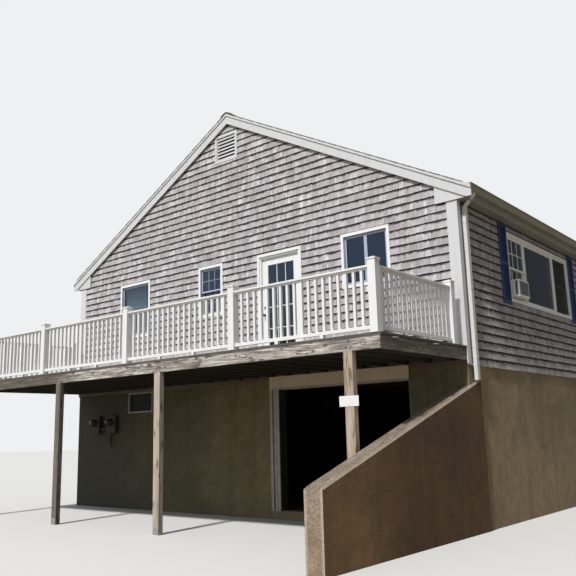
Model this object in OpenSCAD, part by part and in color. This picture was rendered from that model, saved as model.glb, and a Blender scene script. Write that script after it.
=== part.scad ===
// Beach house over a walk-out garage: a one-storey gabled house in wood shingles
// on a concrete foundation, with a raised timber deck and white railings in front.
// X runs along the gable wall, Y runs back into the house, Z is up from the ground.

/* [House] */
// Width of the gable wall
house_w = 10000; // [9400:50:10600]
// Length of the house from gable to gable
house_l = 11600; // [11200:50:13000]
// Thickness of the framed walls
wall_t = 150; // [120:5:180]
// Height of the side walls, from the foundation to the roof's underside
wall_h = 2760; // [2650:10:2900]
// Thickness of the main floor
floor_t = 300; // [250:10:340]

/* [Foundation and garage] */
// Height of the foundation above the lowest ground
foundation_h = 2480; // [2450:10:2700]
// Thickness of the foundation walls
foundation_t = 200; // [190:5:260]
// Level of the garage floor above the lowest ground
slab_t = 150; // [100:5:160]
// Clear width of the garage doorway
garage_w = 2730; // [2400:10:2900]
// Height of the header over the garage doorway
header_h = 180; // [150:10:300]
// Width of the foundation to the right of the doorway
pier_w = 1030; // [900:10:1200]
// Width of the casing and post on the left of the doorway
jamb_w = 215; // [120:5:240]
// Thickness of the board on the right of the doorway
liner_w = 20; // [15:1:60]

/* [Wing wall] */
// Length of the concrete wing wall in front of the house
wing_l = 3845; // [3000:5:4400]
// Thickness of the wing wall
wing_t = 255; // [150:5:300]
// Step of the wing wall past the foundation's right face
wing_out = 30; // [15:1:60]
// Reach of that step along the foundation, behind the front face
wing_over = 335; // [260:5:500]
// Height of the wing wall's top at its rear end
wing_back_h = 2255; // [2100:5:2400]
// Height of the wing wall at its front end
wing_front_h = 925; // [600:5:1400]
// Chamfer along the wing wall's top edges
wing_chamfer = 20; // [5:1:40]

/* [Roof] */
// Rise of the roof for each 12 of run
roof_pitch = 6.5; // [5:0.1:8]
// Thickness of the roof, square to the slope
roof_t = 165; // [140:5:200]
// Reach of the eaves past the side walls
eave_reach = 150; // [100:5:300]
// Reach of the roof past the gable walls
gable_reach = 42; // [40:2:120]
// Thickness of trim boards
trim_t = 22; // [18:1:30]
// Thickness of the strip along the rake boards' top edge
strip_t = 18; // [12:1:30]
// Width of that strip
strip_w = 55; // [35:5:80]
// Depth of the boxed eaves below the roof's underside
soffit_t = 70; // [40:5:120]
// Reach of the rake boards below the roof's underside
rake_drop = 38; // [20:2:50]
// Reach of the boxed eaves' returns along the gable walls
return_w = 350; // [200:10:450]
// Width of the corner boards on the gable walls
corner_w = 165; // [120:5:200]
// Width of the corner boards on the side walls
corner_side_w = 130; // [80:5:150]

/* [Gutters] */
// Width of a gutter
gutter_w = 125; // [100:5:150]
// Depth of a gutter
gutter_d = 110; // [80:5:130]
// Sheet thickness of a gutter
gutter_t = 4; // [3:0.5:6]
// Width of a downspout across the wall
spout_w = 85; // [60:5:100]
// Depth of a downspout
spout_d = 58; // [45:1:70]
// Height of the left downspout's foot above the lowest ground
spout_foot = 160; // [100:10:400]

/* [Windows] */
// Width of the flat casing round each window
casing_w = 45; // [40:5:90]
// Depth of a window frame in the wall
frame_d = 110; // [90:5:115]
// Face width of a window frame
frame_w = 22; // [20:1:40]
// Face width of a sash
sash_w = 33; // [28:1:55]
// Thickness of a sash
sash_t = 32; // [26:1:36]
// Thickness of the glass
glass_t = 6; // [4:1:8]
// Level of the window heads above the deck
head_z = 2155; // [2100:5:2200]
// Width of the left front window
left_window_w = 950; // [800:10:1100]
// Height of the left front window
left_window_h = 1170; // [1000:10:1250]
// Distance of the left front window from the middle of the house
left_window_x = -2970; // [-3100:10:-2800]
// Width of the middle front window
mid_window_w = 610; // [550:10:700]
// Height of the middle front window
mid_window_h = 980; // [900:10:1100]
// Distance of the middle front window from the middle of the house
mid_window_x = -545; // [-650:5:-450]
// Width of the twin front window
twin_window_w = 910; // [800:10:1000]
// Height of the twin front window
twin_window_h = 900; // [800:10:1000]
// Distance of the twin front window from the middle of the house
twin_window_x = 3250; // [3150:10:3350]
// Width of the wide side windows
side_window_w = 3090; // [2800:10:3150]
// Height of the side windows
side_window_h = 1180; // [1100:10:1300]
// Distance between the two wide side windows
side_window_gap = 1570; // [1400:10:1700]
// Width of the wide side window's middle light
side_mid_w = 1450; // [1300:10:1500]
// Width of a plain double-hung window on the unseen sides
plain_window_w = 860; // [750:10:1000]
// Width of a basement window
cellar_window_w = 820; // [700:10:900]
// Height of a basement window
cellar_window_h = 440; // [350:10:500]
// Distance of the front basement window from the middle of the house
cellar_window_x = -2760; // [-2900:10:-2600]
// Width of a shutter
shutter_w = 340; // [300:5:380]
// Thickness of a shutter
shutter_t = 35; // [28:1:45]
// Reach of a shutter above the window's casing
shutter_up = 100; // [60:5:120]
// Reach of a shutter below the window's casing
shutter_down = 65; // [40:5:120]

/* [Fittings] */
// Width of the room air conditioner
cooler_w = 450; // [380:10:520]
// Height of the room air conditioner
cooler_h = 300; // [280:10:380]
// Reach of the air conditioner out of the window
cooler_out = 140; // [120:10:260]
// Distance of the first electric meter from the left corner
meter_1 = 780; // [600:10:900]
// Distance of the second electric meter from the left corner
meter_2 = 1360; // [1200:10:1500]
// Drop from the deck's top to the meters' underside
meter_drop = 1135; // [1000:5:1300]
// Length of the conduit under the second meter
conduit_l = 300; // [200:10:500]

/* [Deck door] */
// Width of the deck door's leaf
door_w = 915; // [760:5:1000]
// Height of the deck door's leaf
door_h = 2030; // [1980:5:2060]
// Distance of the door from the middle of the house
door_x = 1295; // [1200:5:1400]
// Face width of the door's frame
door_frame_w = 45; // [30:1:60]
// Width of the door leaf's stiles
leaf_stile = 140; // [100:5:160]
// Thickness of the door leaf
leaf_t = 45; // [35:1:55]

/* [Gable vent] */
// Width of a gable vent inside its frame
vent_w = 540; // [300:10:560]
// Height of a gable vent inside its frame
vent_h = 520; // [350:10:540]
// Drop from the siding's peak to the vent's opening
vent_drop = 270; // [260:10:400]
// Distance of the vents from the middle of the gable
vent_x = -70; // [-100:10:100]

/* [Deck] */
// Depth of the deck in front of the house
deck_d = 2480; // [2200:10:2700]
// Drop from the main floor to the deck
deck_step = 30; // [10:5:60]
// Thickness of the deck boards
board_t = 28; // [22:1:38]
// Width of a deck board
board_w = 138; // [90:1:140]
// Gap between deck boards
board_gap = 6; // [3:1:10]
// Reach of the deck boards past the rim
nosing = 15; // [0:1:30]
// Depth of the deck's joists and rim
joist_h = 184; // [140:1:235]
// Thickness of joists and rim boards
joist_t = 38; // [36:1:45]
// Spacing of the joists
joist_step = 406; // [300:1:610]
// Width of a timber deck post
post_w = 140; // [89:1:150]
// Depth of a timber deck post
post_d = 89; // [85:1:140]
// Distance of the first deck post from the right end
post_1 = 510; // [450:10:600]
// Distance of the second deck post from the right end
post_2 = 4290; // [4000:10:4500]
// Distance of the third deck post from the right end
post_3 = 7100; // [6800:10:7300]
// Distance of the last deck post from the left end
post_4 = 160; // [120:10:400]

/* [Railing] */
// Height of the top rail above the deck
rail_h = 895; // [850:5:1070]
// Spacing of the railing posts
rail_bay = 2540; // [2300:10:2600]
// Side of a railing post
rail_post_w = 120; // [100:1:140]
// Height of a railing post above the top rail
rail_post_up = 70; // [40:5:120]
// Height of a post cap
cap_h = 42; // [30:1:60]
// Overhang of a post cap
cap_out = 9; // [6:1:20]
// Width of the top rail
top_rail_w = 88; // [70:1:100]
// Depth of the top rail
top_rail_h = 52; // [40:1:70]
// Width of the bottom rail
low_rail_w = 50; // [40:1:70]
// Depth of the bottom rail
low_rail_h = 50; // [40:1:70]
// Height of the bottom rail's underside above the deck
low_rail_z = 48; // [30:1:90]
// Side of a baluster
baluster_w = 38; // [30:1:45]
// Spacing of the balusters
baluster_step = 129; // [110:1:139]
// Gap between the wall and the last post of each side railing
wall_gap = 195; // [0:5:300]
// Inset of the end posts from the deck's sides
post_inset = 28; // [8:1:60]
// Side of a foot block under the bottom rail
foot_w = 55; // [40:5:80]

/* [Hidden] */

// Colours as the object shows them
concrete_c = [0.47, 0.42, 0.36];
shingle_c = [0.50, 0.47, 0.46];
roof_c = [0.33, 0.32, 0.32];
white_c = [0.93, 0.93, 0.91];
beige_c = [0.72, 0.66, 0.56];
timber_c = [0.62, 0.52, 0.40];
grey_timber_c = [0.48, 0.43, 0.38];
navy_c = [0.12, 0.18, 0.34];
steel_c = [0.55, 0.57, 0.58];
glass_c = [0.35, 0.42, 0.48, 0.5];

// Half sizes and levels of the house
half_w = house_w / 2;
slope = roof_pitch / 12;
roof_v = roof_t * sqrt(1 + slope * slope);
floor_z = foundation_h + floor_t;
deck_z = floor_z - deck_step;
eave_z = foundation_h + wall_h;
peak_z = eave_z + half_w * slope;
eave_x = half_w + eave_reach;
soffit_z = eave_z - eave_reach * slope;
gable_out = gable_reach + trim_t + strip_t;
gutter_drop = 12;
gutter_x = eave_x + trim_t + gutter_w;
// The plan is centred on its outline, from the wing wall's end to the rear gable trim
plan_mid_y = (house_l + gable_out - wing_l) / 2;

// Window sills and openings, all as [middle, bottom, width, height]
window_z = deck_z + head_z;
front_left_hole = [left_window_x, window_z - left_window_h, left_window_w, left_window_h];
front_mid_hole = [mid_window_x, window_z - mid_window_h, mid_window_w, mid_window_h];
front_twin_hole = [twin_window_x, window_z - twin_window_h, twin_window_w, twin_window_h];
sill_t = 30;
door_hole = [door_x, floor_z, door_w + 2 * door_frame_w, door_h + door_frame_w + sill_t];
vent_hole = [vent_x, peak_z - vent_drop - vent_h, vent_w, vent_h];
rear_holes = [
    for (x = [left_window_x, mid_window_x, -left_window_x])
        [x, window_z - left_window_h, plain_window_w, left_window_h]
];
side_z = window_z - side_window_h;
side_off = (side_window_gap + side_window_w) / 2;
side_front_hole = [house_l / 2 - side_off, side_z, side_window_w, side_window_h];
side_rear_hole = [house_l / 2 + side_off, side_z, side_window_w, side_window_h];
left_holes = [
    for (share = [0.2, 0.5, 0.8]) [house_l * share, side_z, plain_window_w, side_window_h]
];
cellar_top_gap = 10;
cellar_z = foundation_h - cellar_top_gap - cellar_window_h;
cellar_front_hole = [cellar_window_x, cellar_z, cellar_window_w, cellar_window_h];
cellar_side_holes = [
    for (share = [0.55, 0.85]) [house_l * share, cellar_z, cellar_window_w, cellar_window_h]
];
garage_right = half_w - pier_w;
garage_left = garage_right - liner_w - garage_w - jamb_w;
header_z = foundation_h - header_h;
wing_fall = (wing_back_h - wing_front_h) / (wing_l + wing_over);

// Place of the downspouts behind the front corner boards
spout_gap = 14;
spout_y = corner_side_w + spout_gap;
foot_gap = 10;

// Deck levels
joist_top = deck_z - board_t;
joist_z = joist_top - joist_h;
rail_face = 8;
rail_y = -deck_d + rail_post_w / 2 + rail_face;
rail_end_x = half_w - rail_post_w / 2 - post_inset;
rail_xs = concat(
    [for (i = [0:1:floor((2 * rail_end_x - rail_post_w * 2) / rail_bay)]) rail_end_x - i * rail_bay],
    [-rail_end_x]
);
rail_wall_y = -trim_t - wall_gap - rail_post_w / 2;
deck_post_xs = [half_w - post_1, half_w - post_2, half_w - post_3, -half_w + post_4];

// Moves a piece from the house's own corner frame to the centred plan
module site() {
    translate([0, -plan_mid_y, 0]) children();
}

// Stands a flat outline in X and Z upright, with its thickness towards +Y
module upright(t) {
    translate([0, t, 0]) rotate([90, 0, 0]) linear_extrude(t) children();
}

// Stands a flat outline in Y and Z upright, with its thickness towards +X
module sideways(t) {
    rotate([90, 0, 90]) linear_extrude(t) children();
}

// Block from two opposite corners
module block(low, high) {
    translate(low) cube(high - low);
}

// Rectangle for an opening given as [middle, bottom, width, height]
module hole_shape(hole, grow = 0) {
    translate([hole[0] - hole[2] / 2 - grow, hole[1] - grow])
        square([hole[2] + 2 * grow, hole[3] + 2 * grow]);
}

// Flat ring between a rectangle grown by outer and the same one grown by inner
module ring_shape(hole, outer, inner) {
    difference() {
        hole_shape(hole, outer);
        hole_shape(hole, inner);
    }
}

// Left and right mirror images of one piece
module both_sides() {
    children();
    mirror([1, 0, 0]) children();
}

// Foundation and garage

module garage_slab() {
    color(concrete_c) site() linear_extrude(slab_t) union() {
        translate([-half_w + foundation_t, foundation_t])
            square([house_w - 2 * foundation_t, house_l - 2 * foundation_t]);
        translate([garage_left, 0]) square([garage_right - garage_left, foundation_t + 1]);
    }
}

module foundation_front_left() {
    color(concrete_c) site() upright(foundation_t) difference() {
        translate([-half_w, 0]) square([garage_left + half_w, foundation_h]);
        hole_shape(cellar_front_hole);
    }
}

module foundation_front_right() {
    color(concrete_c) site()
        block([garage_right, 0, 0], [half_w, foundation_t, foundation_h]);
}

// Long foundation wall whose outer face looks towards +X
module long_foundation() {
    translate([half_w - foundation_t, 0, 0]) sideways(foundation_t) difference() {
        translate([foundation_t, 0]) square([house_l - 2 * foundation_t, foundation_h]);
        for (hole = cellar_side_holes) hole_shape(hole);
    }
}

module foundation_left() {
    color(concrete_c) site() mirror([1, 0, 0]) long_foundation();
}

module foundation_right() {
    color(concrete_c) site() long_foundation();
}

module foundation_back() {
    color(concrete_c) site()
        block([-half_w, house_l - foundation_t, 0], [half_w, house_l, foundation_h]);
}

// Casing and post with a groove between them on the left, a plain board on the right
module garage_frame() {
    casing = 57;
    recess_w = 43;
    stop_w = 62;
    slit_w = 9;
    groove_d = 19;
    edge_h = 27;
    edge_t = 8;
    edge_lift = 2;
    color(white_c) site() {
        difference() {
            block([garage_left, -trim_t, slab_t], [garage_left + jamb_w, foundation_t, header_z]);
            for (cut = [[casing, recess_w], [jamb_w - stop_w - slit_w, slit_w]])
                block([garage_left + cut[0], -trim_t - 1, slab_t - 1],
                    [garage_left + cut[0] + cut[1], -trim_t + groove_d, header_z + 1]);
        }
        block([garage_right - liner_w, 0, slab_t], [garage_right, foundation_t, header_z]);
        block([garage_left + casing, -trim_t - edge_t, header_z + edge_lift],
            [garage_right, -trim_t, header_z + edge_lift + edge_h]);
    }
}

// Header through the wall, with a face board up to the deck's ledger
module garage_header() {
    color(beige_c) site() union() {
        block([garage_left, -trim_t, header_z], [garage_right, foundation_t, foundation_h]);
        block([garage_left, -trim_t, header_z], [garage_right, 0, joist_z]);
    }
}

// Level of the wing wall's top at a distance behind the front face
function wing_top(y) = wing_front_h + (wing_l + y) * wing_fall;

// Sloping wall in front of the foundation, stepped out to run on along its right face
module wing_wall() {
    outer_x = half_w + wing_out;
    lap = 10;
    nose = 2 * wing_chamfer;
    color(concrete_c) site() difference() {
        union() {
            translate([outer_x - wing_t, 0, 0]) sideways(wing_t) polygon([
                [-wing_l, 0], [0, 0], [0, wing_top(0)],
                [-wing_l + nose, wing_top(nose - wing_l)], [-wing_l, wing_front_h - nose / 2]
            ]);
            translate([half_w, 0, 0]) sideways(wing_out) polygon([
                [-lap, 0], [wing_over, 0], [wing_over, wing_back_h],
                [-lap, wing_top(-lap)]
            ]);
        }
        for (x = [outer_x - wing_t, outer_x])
            translate([x, -wing_l, wing_front_h]) rotate([atan(wing_fall), 0, 0]) rotate([0, 45, 0])
                translate([-wing_chamfer, -wing_l, -wing_chamfer])
                    cube([2 * wing_chamfer, 3 * wing_l, 2 * wing_chamfer]);
    }
}

// House shell

module main_floor() {
    color(timber_c) site() block(
        [-half_w + wall_t, wall_t, foundation_h], [half_w - wall_t, house_l - wall_t, floor_z]
    );
}

module gable_shape() {
    polygon([
        [-half_w, foundation_h], [half_w, foundation_h], [half_w, eave_z],
        [0, peak_z], [-half_w, eave_z]
    ]);
}

module front_wall() {
    color(shingle_c) site() upright(wall_t) difference() {
        gable_shape();
        for (hole = [front_left_hole, front_mid_hole, front_twin_hole, door_hole, vent_hole])
            hole_shape(hole);
    }
}

module back_wall() {
    color(shingle_c) site() translate([0, house_l - wall_t, 0]) upright(wall_t) difference() {
        gable_shape();
        for (hole = concat(rear_holes, [vent_hole])) hole_shape(hole);
    }
}

// Side wall towards +X with a top that follows the roof, cut for the given openings
module side_wall(holes) {
    difference() {
        translate([0, wall_t, 0]) upright(house_l - 2 * wall_t) polygon([
            [half_w - wall_t, foundation_h], [half_w, foundation_h], [half_w, eave_z],
            [half_w - wall_t, eave_z + wall_t * slope]
        ]);
        translate([half_w - wall_t - 1, 0, 0]) sideways(wall_t + 2)
            for (hole = holes) hole_shape(hole);
    }
}

module left_wall() {
    color(shingle_c) site() mirror([1, 0, 0]) side_wall(left_holes);
}

module right_wall() {
    color(shingle_c) site() side_wall([side_front_hole, side_rear_hole]);
}

// Roof

module roof_slope() {
    translate([0, -gable_reach, 0]) upright(house_l + 2 * gable_reach) polygon([
        [0, peak_z], [eave_x, soffit_z], [eave_x, soffit_z + roof_v], [0, peak_z + roof_v]
    ]);
}

module roof_left() {
    color(roof_c) site() mirror([1, 0, 0]) roof_slope();
}

module roof_right() {
    color(roof_c) site() roof_slope();
}

module ridge_cap() {
    cap_reach = eave_reach;
    cap_t = 0.085 * roof_t;
    top = peak_z + roof_v;
    color(roof_c) site() translate([0, -gable_out, 0]) upright(house_l + 2 * gable_out)
        polygon([
            [0, top], [cap_reach, top - cap_reach * slope],
            [cap_reach, top - cap_reach * slope + cap_t], [0, top + cap_t],
            [-cap_reach, top - cap_reach * slope + cap_t], [-cap_reach, top - cap_reach * slope]
        ]);
}

// Sloping band over one half of a roof end, from the roof's top down by the given width and
// out over the gutter's end, where it is cut level with the boxed eave
module rake_band(t, width) {
    top = peak_z + roof_v;
    low = soffit_z - soffit_t;
    tail = max(low, top - width - gutter_x * slope);
    upright(t) polygon([
        [0, top - width], [(top - width - tail) / slope, tail], [gutter_x, tail],
        [gutter_x, top - gutter_x * slope], [0, top]
    ]);
}

// Board and strip that close the front roof end
module rake() {
    lap = 1;
    union() both_sides() {
        translate([0, -gable_reach - trim_t, 0]) rake_band(trim_t, roof_v + rake_drop);
        translate([0, -gable_out, 0]) rake_band(strip_t + lap, strip_w);
    }
}

module rake_boards() {
    color(white_c) site() {
        rake();
        translate([0, house_l, 0]) mirror([0, 1, 0]) rake();
    }
}

// Boxed eave towards +X: fascia, level soffit and a closed return at each end
module eave_box() {
    low = soffit_z - soffit_t;
    return_x = half_w - return_w;
    union() {
        block([eave_x, -gable_reach, low],
            [eave_x + trim_t, house_l + gable_reach, soffit_z + roof_v - trim_t]);
        block([half_w, -gable_reach, low], [eave_x + trim_t, house_l + gable_reach, soffit_z]);
        for (y = [-gable_reach, house_l])
            translate([0, y, 0]) upright(gable_reach) polygon([
                [return_x, low], [eave_x, low], [eave_x, soffit_z],
                [return_x, soffit_z + (eave_x - return_x) * slope]
            ]);
    }
}

module eave_boxes() {
    color(white_c) site() both_sides() eave_box();
}

// Open gutter towards +X with a stepped front, seen end on
module gutter() {
    back_x = eave_x + trim_t;
    top = soffit_z + roof_v - trim_t - gutter_drop;
    t = gutter_t;
    shell = [
        [back_x, top], [back_x, top - gutter_d], [back_x + 0.6 * gutter_w, top - gutter_d],
        [back_x + 0.72 * gutter_w, top - 0.7 * gutter_d],
        [back_x + 0.9 * gutter_w, top - 0.45 * gutter_d],
        [back_x + 0.9 * gutter_w, top - 3 * t], [back_x + gutter_w, top - 3 * t],
        [back_x + gutter_w, top]
    ];
    inside = [
        [back_x + gutter_w - t, top], [back_x + gutter_w - t, top - 2 * t],
        [back_x + 0.9 * gutter_w - t, top - 2 * t],
        [back_x + 0.9 * gutter_w - t, top - 0.45 * gutter_d + t],
        [back_x + 0.72 * gutter_w - t, top - 0.7 * gutter_d + t],
        [back_x + 0.6 * gutter_w - t, top - gutter_d + t],
        [back_x + t, top - gutter_d + t], [back_x + t, top]
    ];
    union() {
        translate([0, -gable_reach, 0]) upright(house_l + 2 * gable_reach)
            polygon(concat(shell, inside));
        for (y = [-gable_reach, house_l + gable_reach - t])
            translate([0, y, 0]) upright(t) polygon(shell);
    }
}

module gutter_left() {
    color(white_c) site() mirror([1, 0, 0]) gutter();
}

module gutter_right() {
    color(white_c) site() gutter();
}

// Downspout towards +X: out of the gutter, back to the wall and straight down, with a foot
// that turns out where one is asked for
module downspout(low, foot) {
    d = spout_d;
    wall_x = half_w + trim_t;
    drop_x = eave_x + trim_t + 0.08 * gutter_w;
    top = soffit_z + roof_v - trim_t - gutter_drop - gutter_d;
    back = drop_x - wall_x;
    tail = foot
        ? [[wall_x, low + 2 * d], [wall_x + d, low], [wall_x + 2 * d, low + d], [wall_x + d, low + 2 * d]]
        : [[wall_x, low], [wall_x + d, low]];
    translate([0, spout_y, 0]) upright(spout_w) polygon(concat(
        [[drop_x, top], [drop_x, top - d], [wall_x, top - d - back]], tail,
        [[wall_x + d, top - d - back + d / 2], [drop_x + d, top - d / 2], [drop_x + d, top]]
    ));
}

module downspouts() {
    color(white_c) site() {
        downspout(wing_top(spout_y + spout_w) + foot_gap, false);
        mirror([1, 0, 0]) downspout(spout_foot, true);
    }
}

// Corner board at the front right corner, its gable leaf starting at the given level
module corner_board(leaf_low) {
    top = soffit_z - soffit_t;
    union() {
        block([half_w - corner_w, -trim_t, leaf_low], [half_w + trim_t, 0, top]);
        block([half_w, -trim_t, foundation_h], [half_w + trim_t, corner_side_w, top]);
    }
}

module corner_boards() {
    color(white_c) site() both_sides() {
        corner_board(joist_top);
        translate([0, house_l, 0]) mirror([0, 1, 0]) corner_board(foundation_h);
    }
}

// Gable vent seen from outside, frame and sloping louvres, facing -Y
module gable_vent() {
    louvre_n = 7;
    pitch = vent_h / louvre_n;
    lip = 0.46 * pitch;
    blade_t = 8;
    liner_t = 20;
    union() {
        translate([0, -trim_t, 0]) upright(trim_t) ring_shape(vent_hole, casing_w, -liner_t / 2);
        upright(wall_t / 2) ring_shape(vent_hole, 0, -liner_t);
        translate([vent_x - vent_w / 2 + liner_t / 2, 0, 0]) sideways(vent_w - liner_t)
            for (i = [0:1:louvre_n - 1]) let (z = vent_hole[1] + i * pitch + 0.07 * pitch)
                polygon([[0, z], [blade_t, z], [blade_t, z + lip - blade_t],
                    [wall_t / 2, z + 0.86 * pitch], [wall_t / 2, z + 0.86 * pitch + blade_t],
                    [0, z + lip]]);
    }
}

module gable_vents() {
    color(white_c) site() {
        gable_vent();
        translate([0, house_l, 0]) mirror([0, 1, 0]) gable_vent();
    }
}

// Windows, all drawn facing -Y with the wall's outer face at y = 0

// Flat casing on the wall and the frame that lines the hole
module window_frame(hole) {
    translate([0, -trim_t, 0]) upright(trim_t) ring_shape(hole, casing_w, -frame_w / 2);
    upright(frame_d) ring_shape(hole, 0, -frame_w);
}

// One sash filling a light given as [middle, bottom, width, height]
module sash(light, y) {
    translate([0, y, 0]) upright(sash_t) ring_shape(light, 0, -sash_w);
}

// The light left inside a frame, cut to a share of its width or height
function light_in(hole) = [
    hole[0], hole[1] + frame_w, hole[2] - 2 * frame_w, hole[3] - 2 * frame_w
];
function lower_half(light) = [light[0], light[1], light[2], light[3] / 2 + sash_w / 2];
function upper_half(light) = [
    light[0], light[1] + light[3] / 2 - sash_w / 2, light[2], light[3] / 2 + sash_w / 2
];
function left_half(light) = [light[0] - light[2] / 4, light[1], light[2] / 2, light[3]];
function right_half(light) = [light[0] + light[2] / 4, light[1], light[2] / 2, light[3]];
function glass_in(light) = [
    light[0], light[1] + sash_w, light[2] - 2 * sash_w, light[3] - 2 * sash_w
];

// Depths of the outer and inner sash behind the wall's face
outer_sash_y = 15;
inner_sash_y = outer_sash_y + sash_t;

module double_hung(hole) {
    union() {
        window_frame(hole);
        sash(upper_half(light_in(hole)), outer_sash_y);
        sash(lower_half(light_in(hole)), inner_sash_y);
    }
}

module fixed_window(hole) {
    union() {
        window_frame(hole);
        sash(light_in(hole), outer_sash_y);
    }
}

module twin_window(hole) {
    union() {
        window_frame(hole);
        sash(left_half(light_in(hole)), outer_sash_y);
        sash(right_half(light_in(hole)), outer_sash_y);
    }
}

// The three lights of a wide window: double-hung, fixed, double-hung
mullion_w = 50;
function flank_w(hole) = (hole[2] - 2 * frame_w - side_mid_w - 2 * mullion_w) / 2;
function wide_lights(hole) = let (
    light = light_in(hole), flank = flank_w(hole), off = (side_mid_w + flank) / 2 + mullion_w
) [
    [hole[0] - off, light[1], flank, light[3]],
    [hole[0], light[1], side_mid_w, light[3]],
    [hole[0] + off, light[1], flank, light[3]]
];

module wide_window(hole) {
    lights = wide_lights(hole);
    union() {
        window_frame(hole);
        for (side = [-1, 1])
            upright(frame_d) translate([
                hole[0] + side * (side_mid_w + mullion_w) / 2 - mullion_w / 2, hole[1] + frame_w
            ]) square([mullion_w, hole[3] - 2 * frame_w]);
        sash(lights[1], outer_sash_y);
        for (light = [lights[0], lights[2]]) {
            sash(upper_half(light), outer_sash_y);
            sash(lower_half(light), inner_sash_y);
        }
    }
}

// Turns a piece drawn for the front wall onto another wall
module on_right_wall() {
    translate([half_w, 0, 0]) rotate([0, 0, 90]) children();
}

module on_left_wall() {
    mirror([1, 0, 0]) on_right_wall() children();
}

module on_back_wall() {
    translate([0, house_l, 0]) mirror([0, 1, 0]) children();
}

module window_front_left() {
    color(white_c) site() fixed_window(front_left_hole);
}

module window_front_middle() {
    color(white_c) site() double_hung(front_mid_hole);
}

module window_front_right() {
    color(white_c) site() twin_window(front_twin_hole);
}

module window_right_front() {
    color(white_c) site() on_right_wall() wide_window(side_front_hole);
}

module window_right_rear() {
    color(white_c) site() on_right_wall() wide_window(side_rear_hole);
}

module windows_left() {
    color(white_c) site() on_left_wall() for (hole = left_holes) double_hung(hole);
}

module windows_back() {
    color(white_c) site() on_back_wall() for (hole = rear_holes) double_hung(hole);
}

module cellar_window(hole) {
    upright(frame_d) ring_shape(hole, 0, -sash_w);
}

module basement_windows() {
    color(white_c) site() {
        cellar_window(cellar_front_hole);
        for (hole = cellar_side_holes) {
            on_right_wall() cellar_window(hole);
            on_left_wall() cellar_window(hole);
        }
    }
}

// Deck door: casing, frame, sill and a leaf with one large light

leaf_low = 240;
leaf_y = 40;
door_light = [
    door_x, door_hole[1] + sill_t + leaf_low, door_w - 2 * leaf_stile,
    door_h - leaf_low - leaf_stile
];

module deck_door() {
    leaf = [door_x, door_hole[1] + sill_t, door_w, door_h];
    color(white_c) site() union() {
        translate([0, -trim_t, 0]) upright(trim_t) difference() {
            hole_shape(door_hole, casing_w);
            hole_shape(door_hole, -frame_w / 2);
            translate([-half_w, door_hole[1] - casing_w]) square([house_w, casing_w]);
        }
        upright(frame_d) difference() {
            hole_shape(door_hole);
            hole_shape(leaf);
        }
        translate([0, leaf_y, 0]) upright(leaf_t) difference() {
            hole_shape(leaf);
            hole_shape(door_light);
        }
    }
}

// A pane in the middle of a sash that starts at depth y
module pane(light, y, t = sash_t) {
    translate([0, y + (t - glass_t) / 2, 0]) upright(glass_t) hole_shape(light);
}

module double_hung_panes(light) {
    pane(glass_in(upper_half(light)), outer_sash_y);
    pane(glass_in(lower_half(light)), inner_sash_y);
}

module wide_panes(hole) {
    lights = wide_lights(hole);
    pane(glass_in(lights[1]), outer_sash_y);
    double_hung_panes(lights[0]);
    double_hung_panes(lights[2]);
}

module cellar_pane(hole) {
    light = [hole[0], hole[1] + sash_w, hole[2] - 2 * sash_w, hole[3] - 2 * sash_w];
    pane(light, 0, frame_d);
}

module window_glass() {
    color(glass_c) site() {
        pane(glass_in(light_in(front_left_hole)), outer_sash_y);
        double_hung_panes(light_in(front_mid_hole));
        pane(glass_in(left_half(light_in(front_twin_hole))), outer_sash_y);
        pane(glass_in(right_half(light_in(front_twin_hole))), outer_sash_y);
        pane(door_light, leaf_y, leaf_t);
        cellar_pane(cellar_front_hole);
        on_right_wall() {
            wide_panes(side_front_hole);
            wide_panes(side_rear_hole);
            for (hole = cellar_side_holes) cellar_pane(hole);
        }
        on_left_wall() {
            for (hole = left_holes) double_hung_panes(light_in(hole));
            for (hole = cellar_side_holes) cellar_pane(hole);
        }
        on_back_wall() for (hole = rear_holes) double_hung_panes(light_in(hole));
    }
}

// Louvred shutter beside an opening, facing -Y, with its left edge at x
module shutter(x, z, h) {
    stile = 45;
    blade_step = 50;
    blade_t = 7;
    inset = 4;
    seat = 1;
    bay_h = (h - 3 * stile) / 2;
    blade_n = floor(bay_h / blade_step);
    step = (bay_h - inset) / blade_n;
    rail_zs = [z, z + stile + bay_h, z + h - stile];
    translate([0, -shutter_t, 0]) union() {
        for (left = [x, x + shutter_w - stile]) block([left, 0, z], [left + stile, shutter_t, z + h]);
        for (low = rail_zs) block([x, 0, low], [x + shutter_w, shutter_t, low + stile]);
        translate([x + stile - seat, 0, 0]) sideways(shutter_w - 2 * stile + 2 * seat)
            for (low = [rail_zs[0] + stile, rail_zs[1] + stile], i = [0:1:blade_n - 1])
                let (b = low + inset + i * step, top = b + step - inset)
                    polygon([[inset, b], [shutter_t - inset, top - blade_t],
                        [shutter_t - inset, top], [inset, b + blade_t]]);
    }
}

module shutters() {
    shutter_gap = 8;
    color(navy_c) site() on_right_wall() for (hole = [side_front_hole, side_rear_hole]) {
        z = hole[1] - casing_w - shutter_down;
        h = hole[3] + 2 * casing_w + shutter_down + shutter_up;
        shutter(hole[0] - hole[2] / 2 - casing_w - shutter_gap - shutter_w, z, h);
        shutter(hole[0] + hole[2] / 2 + casing_w + shutter_gap, z, h);
    }
}

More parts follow.
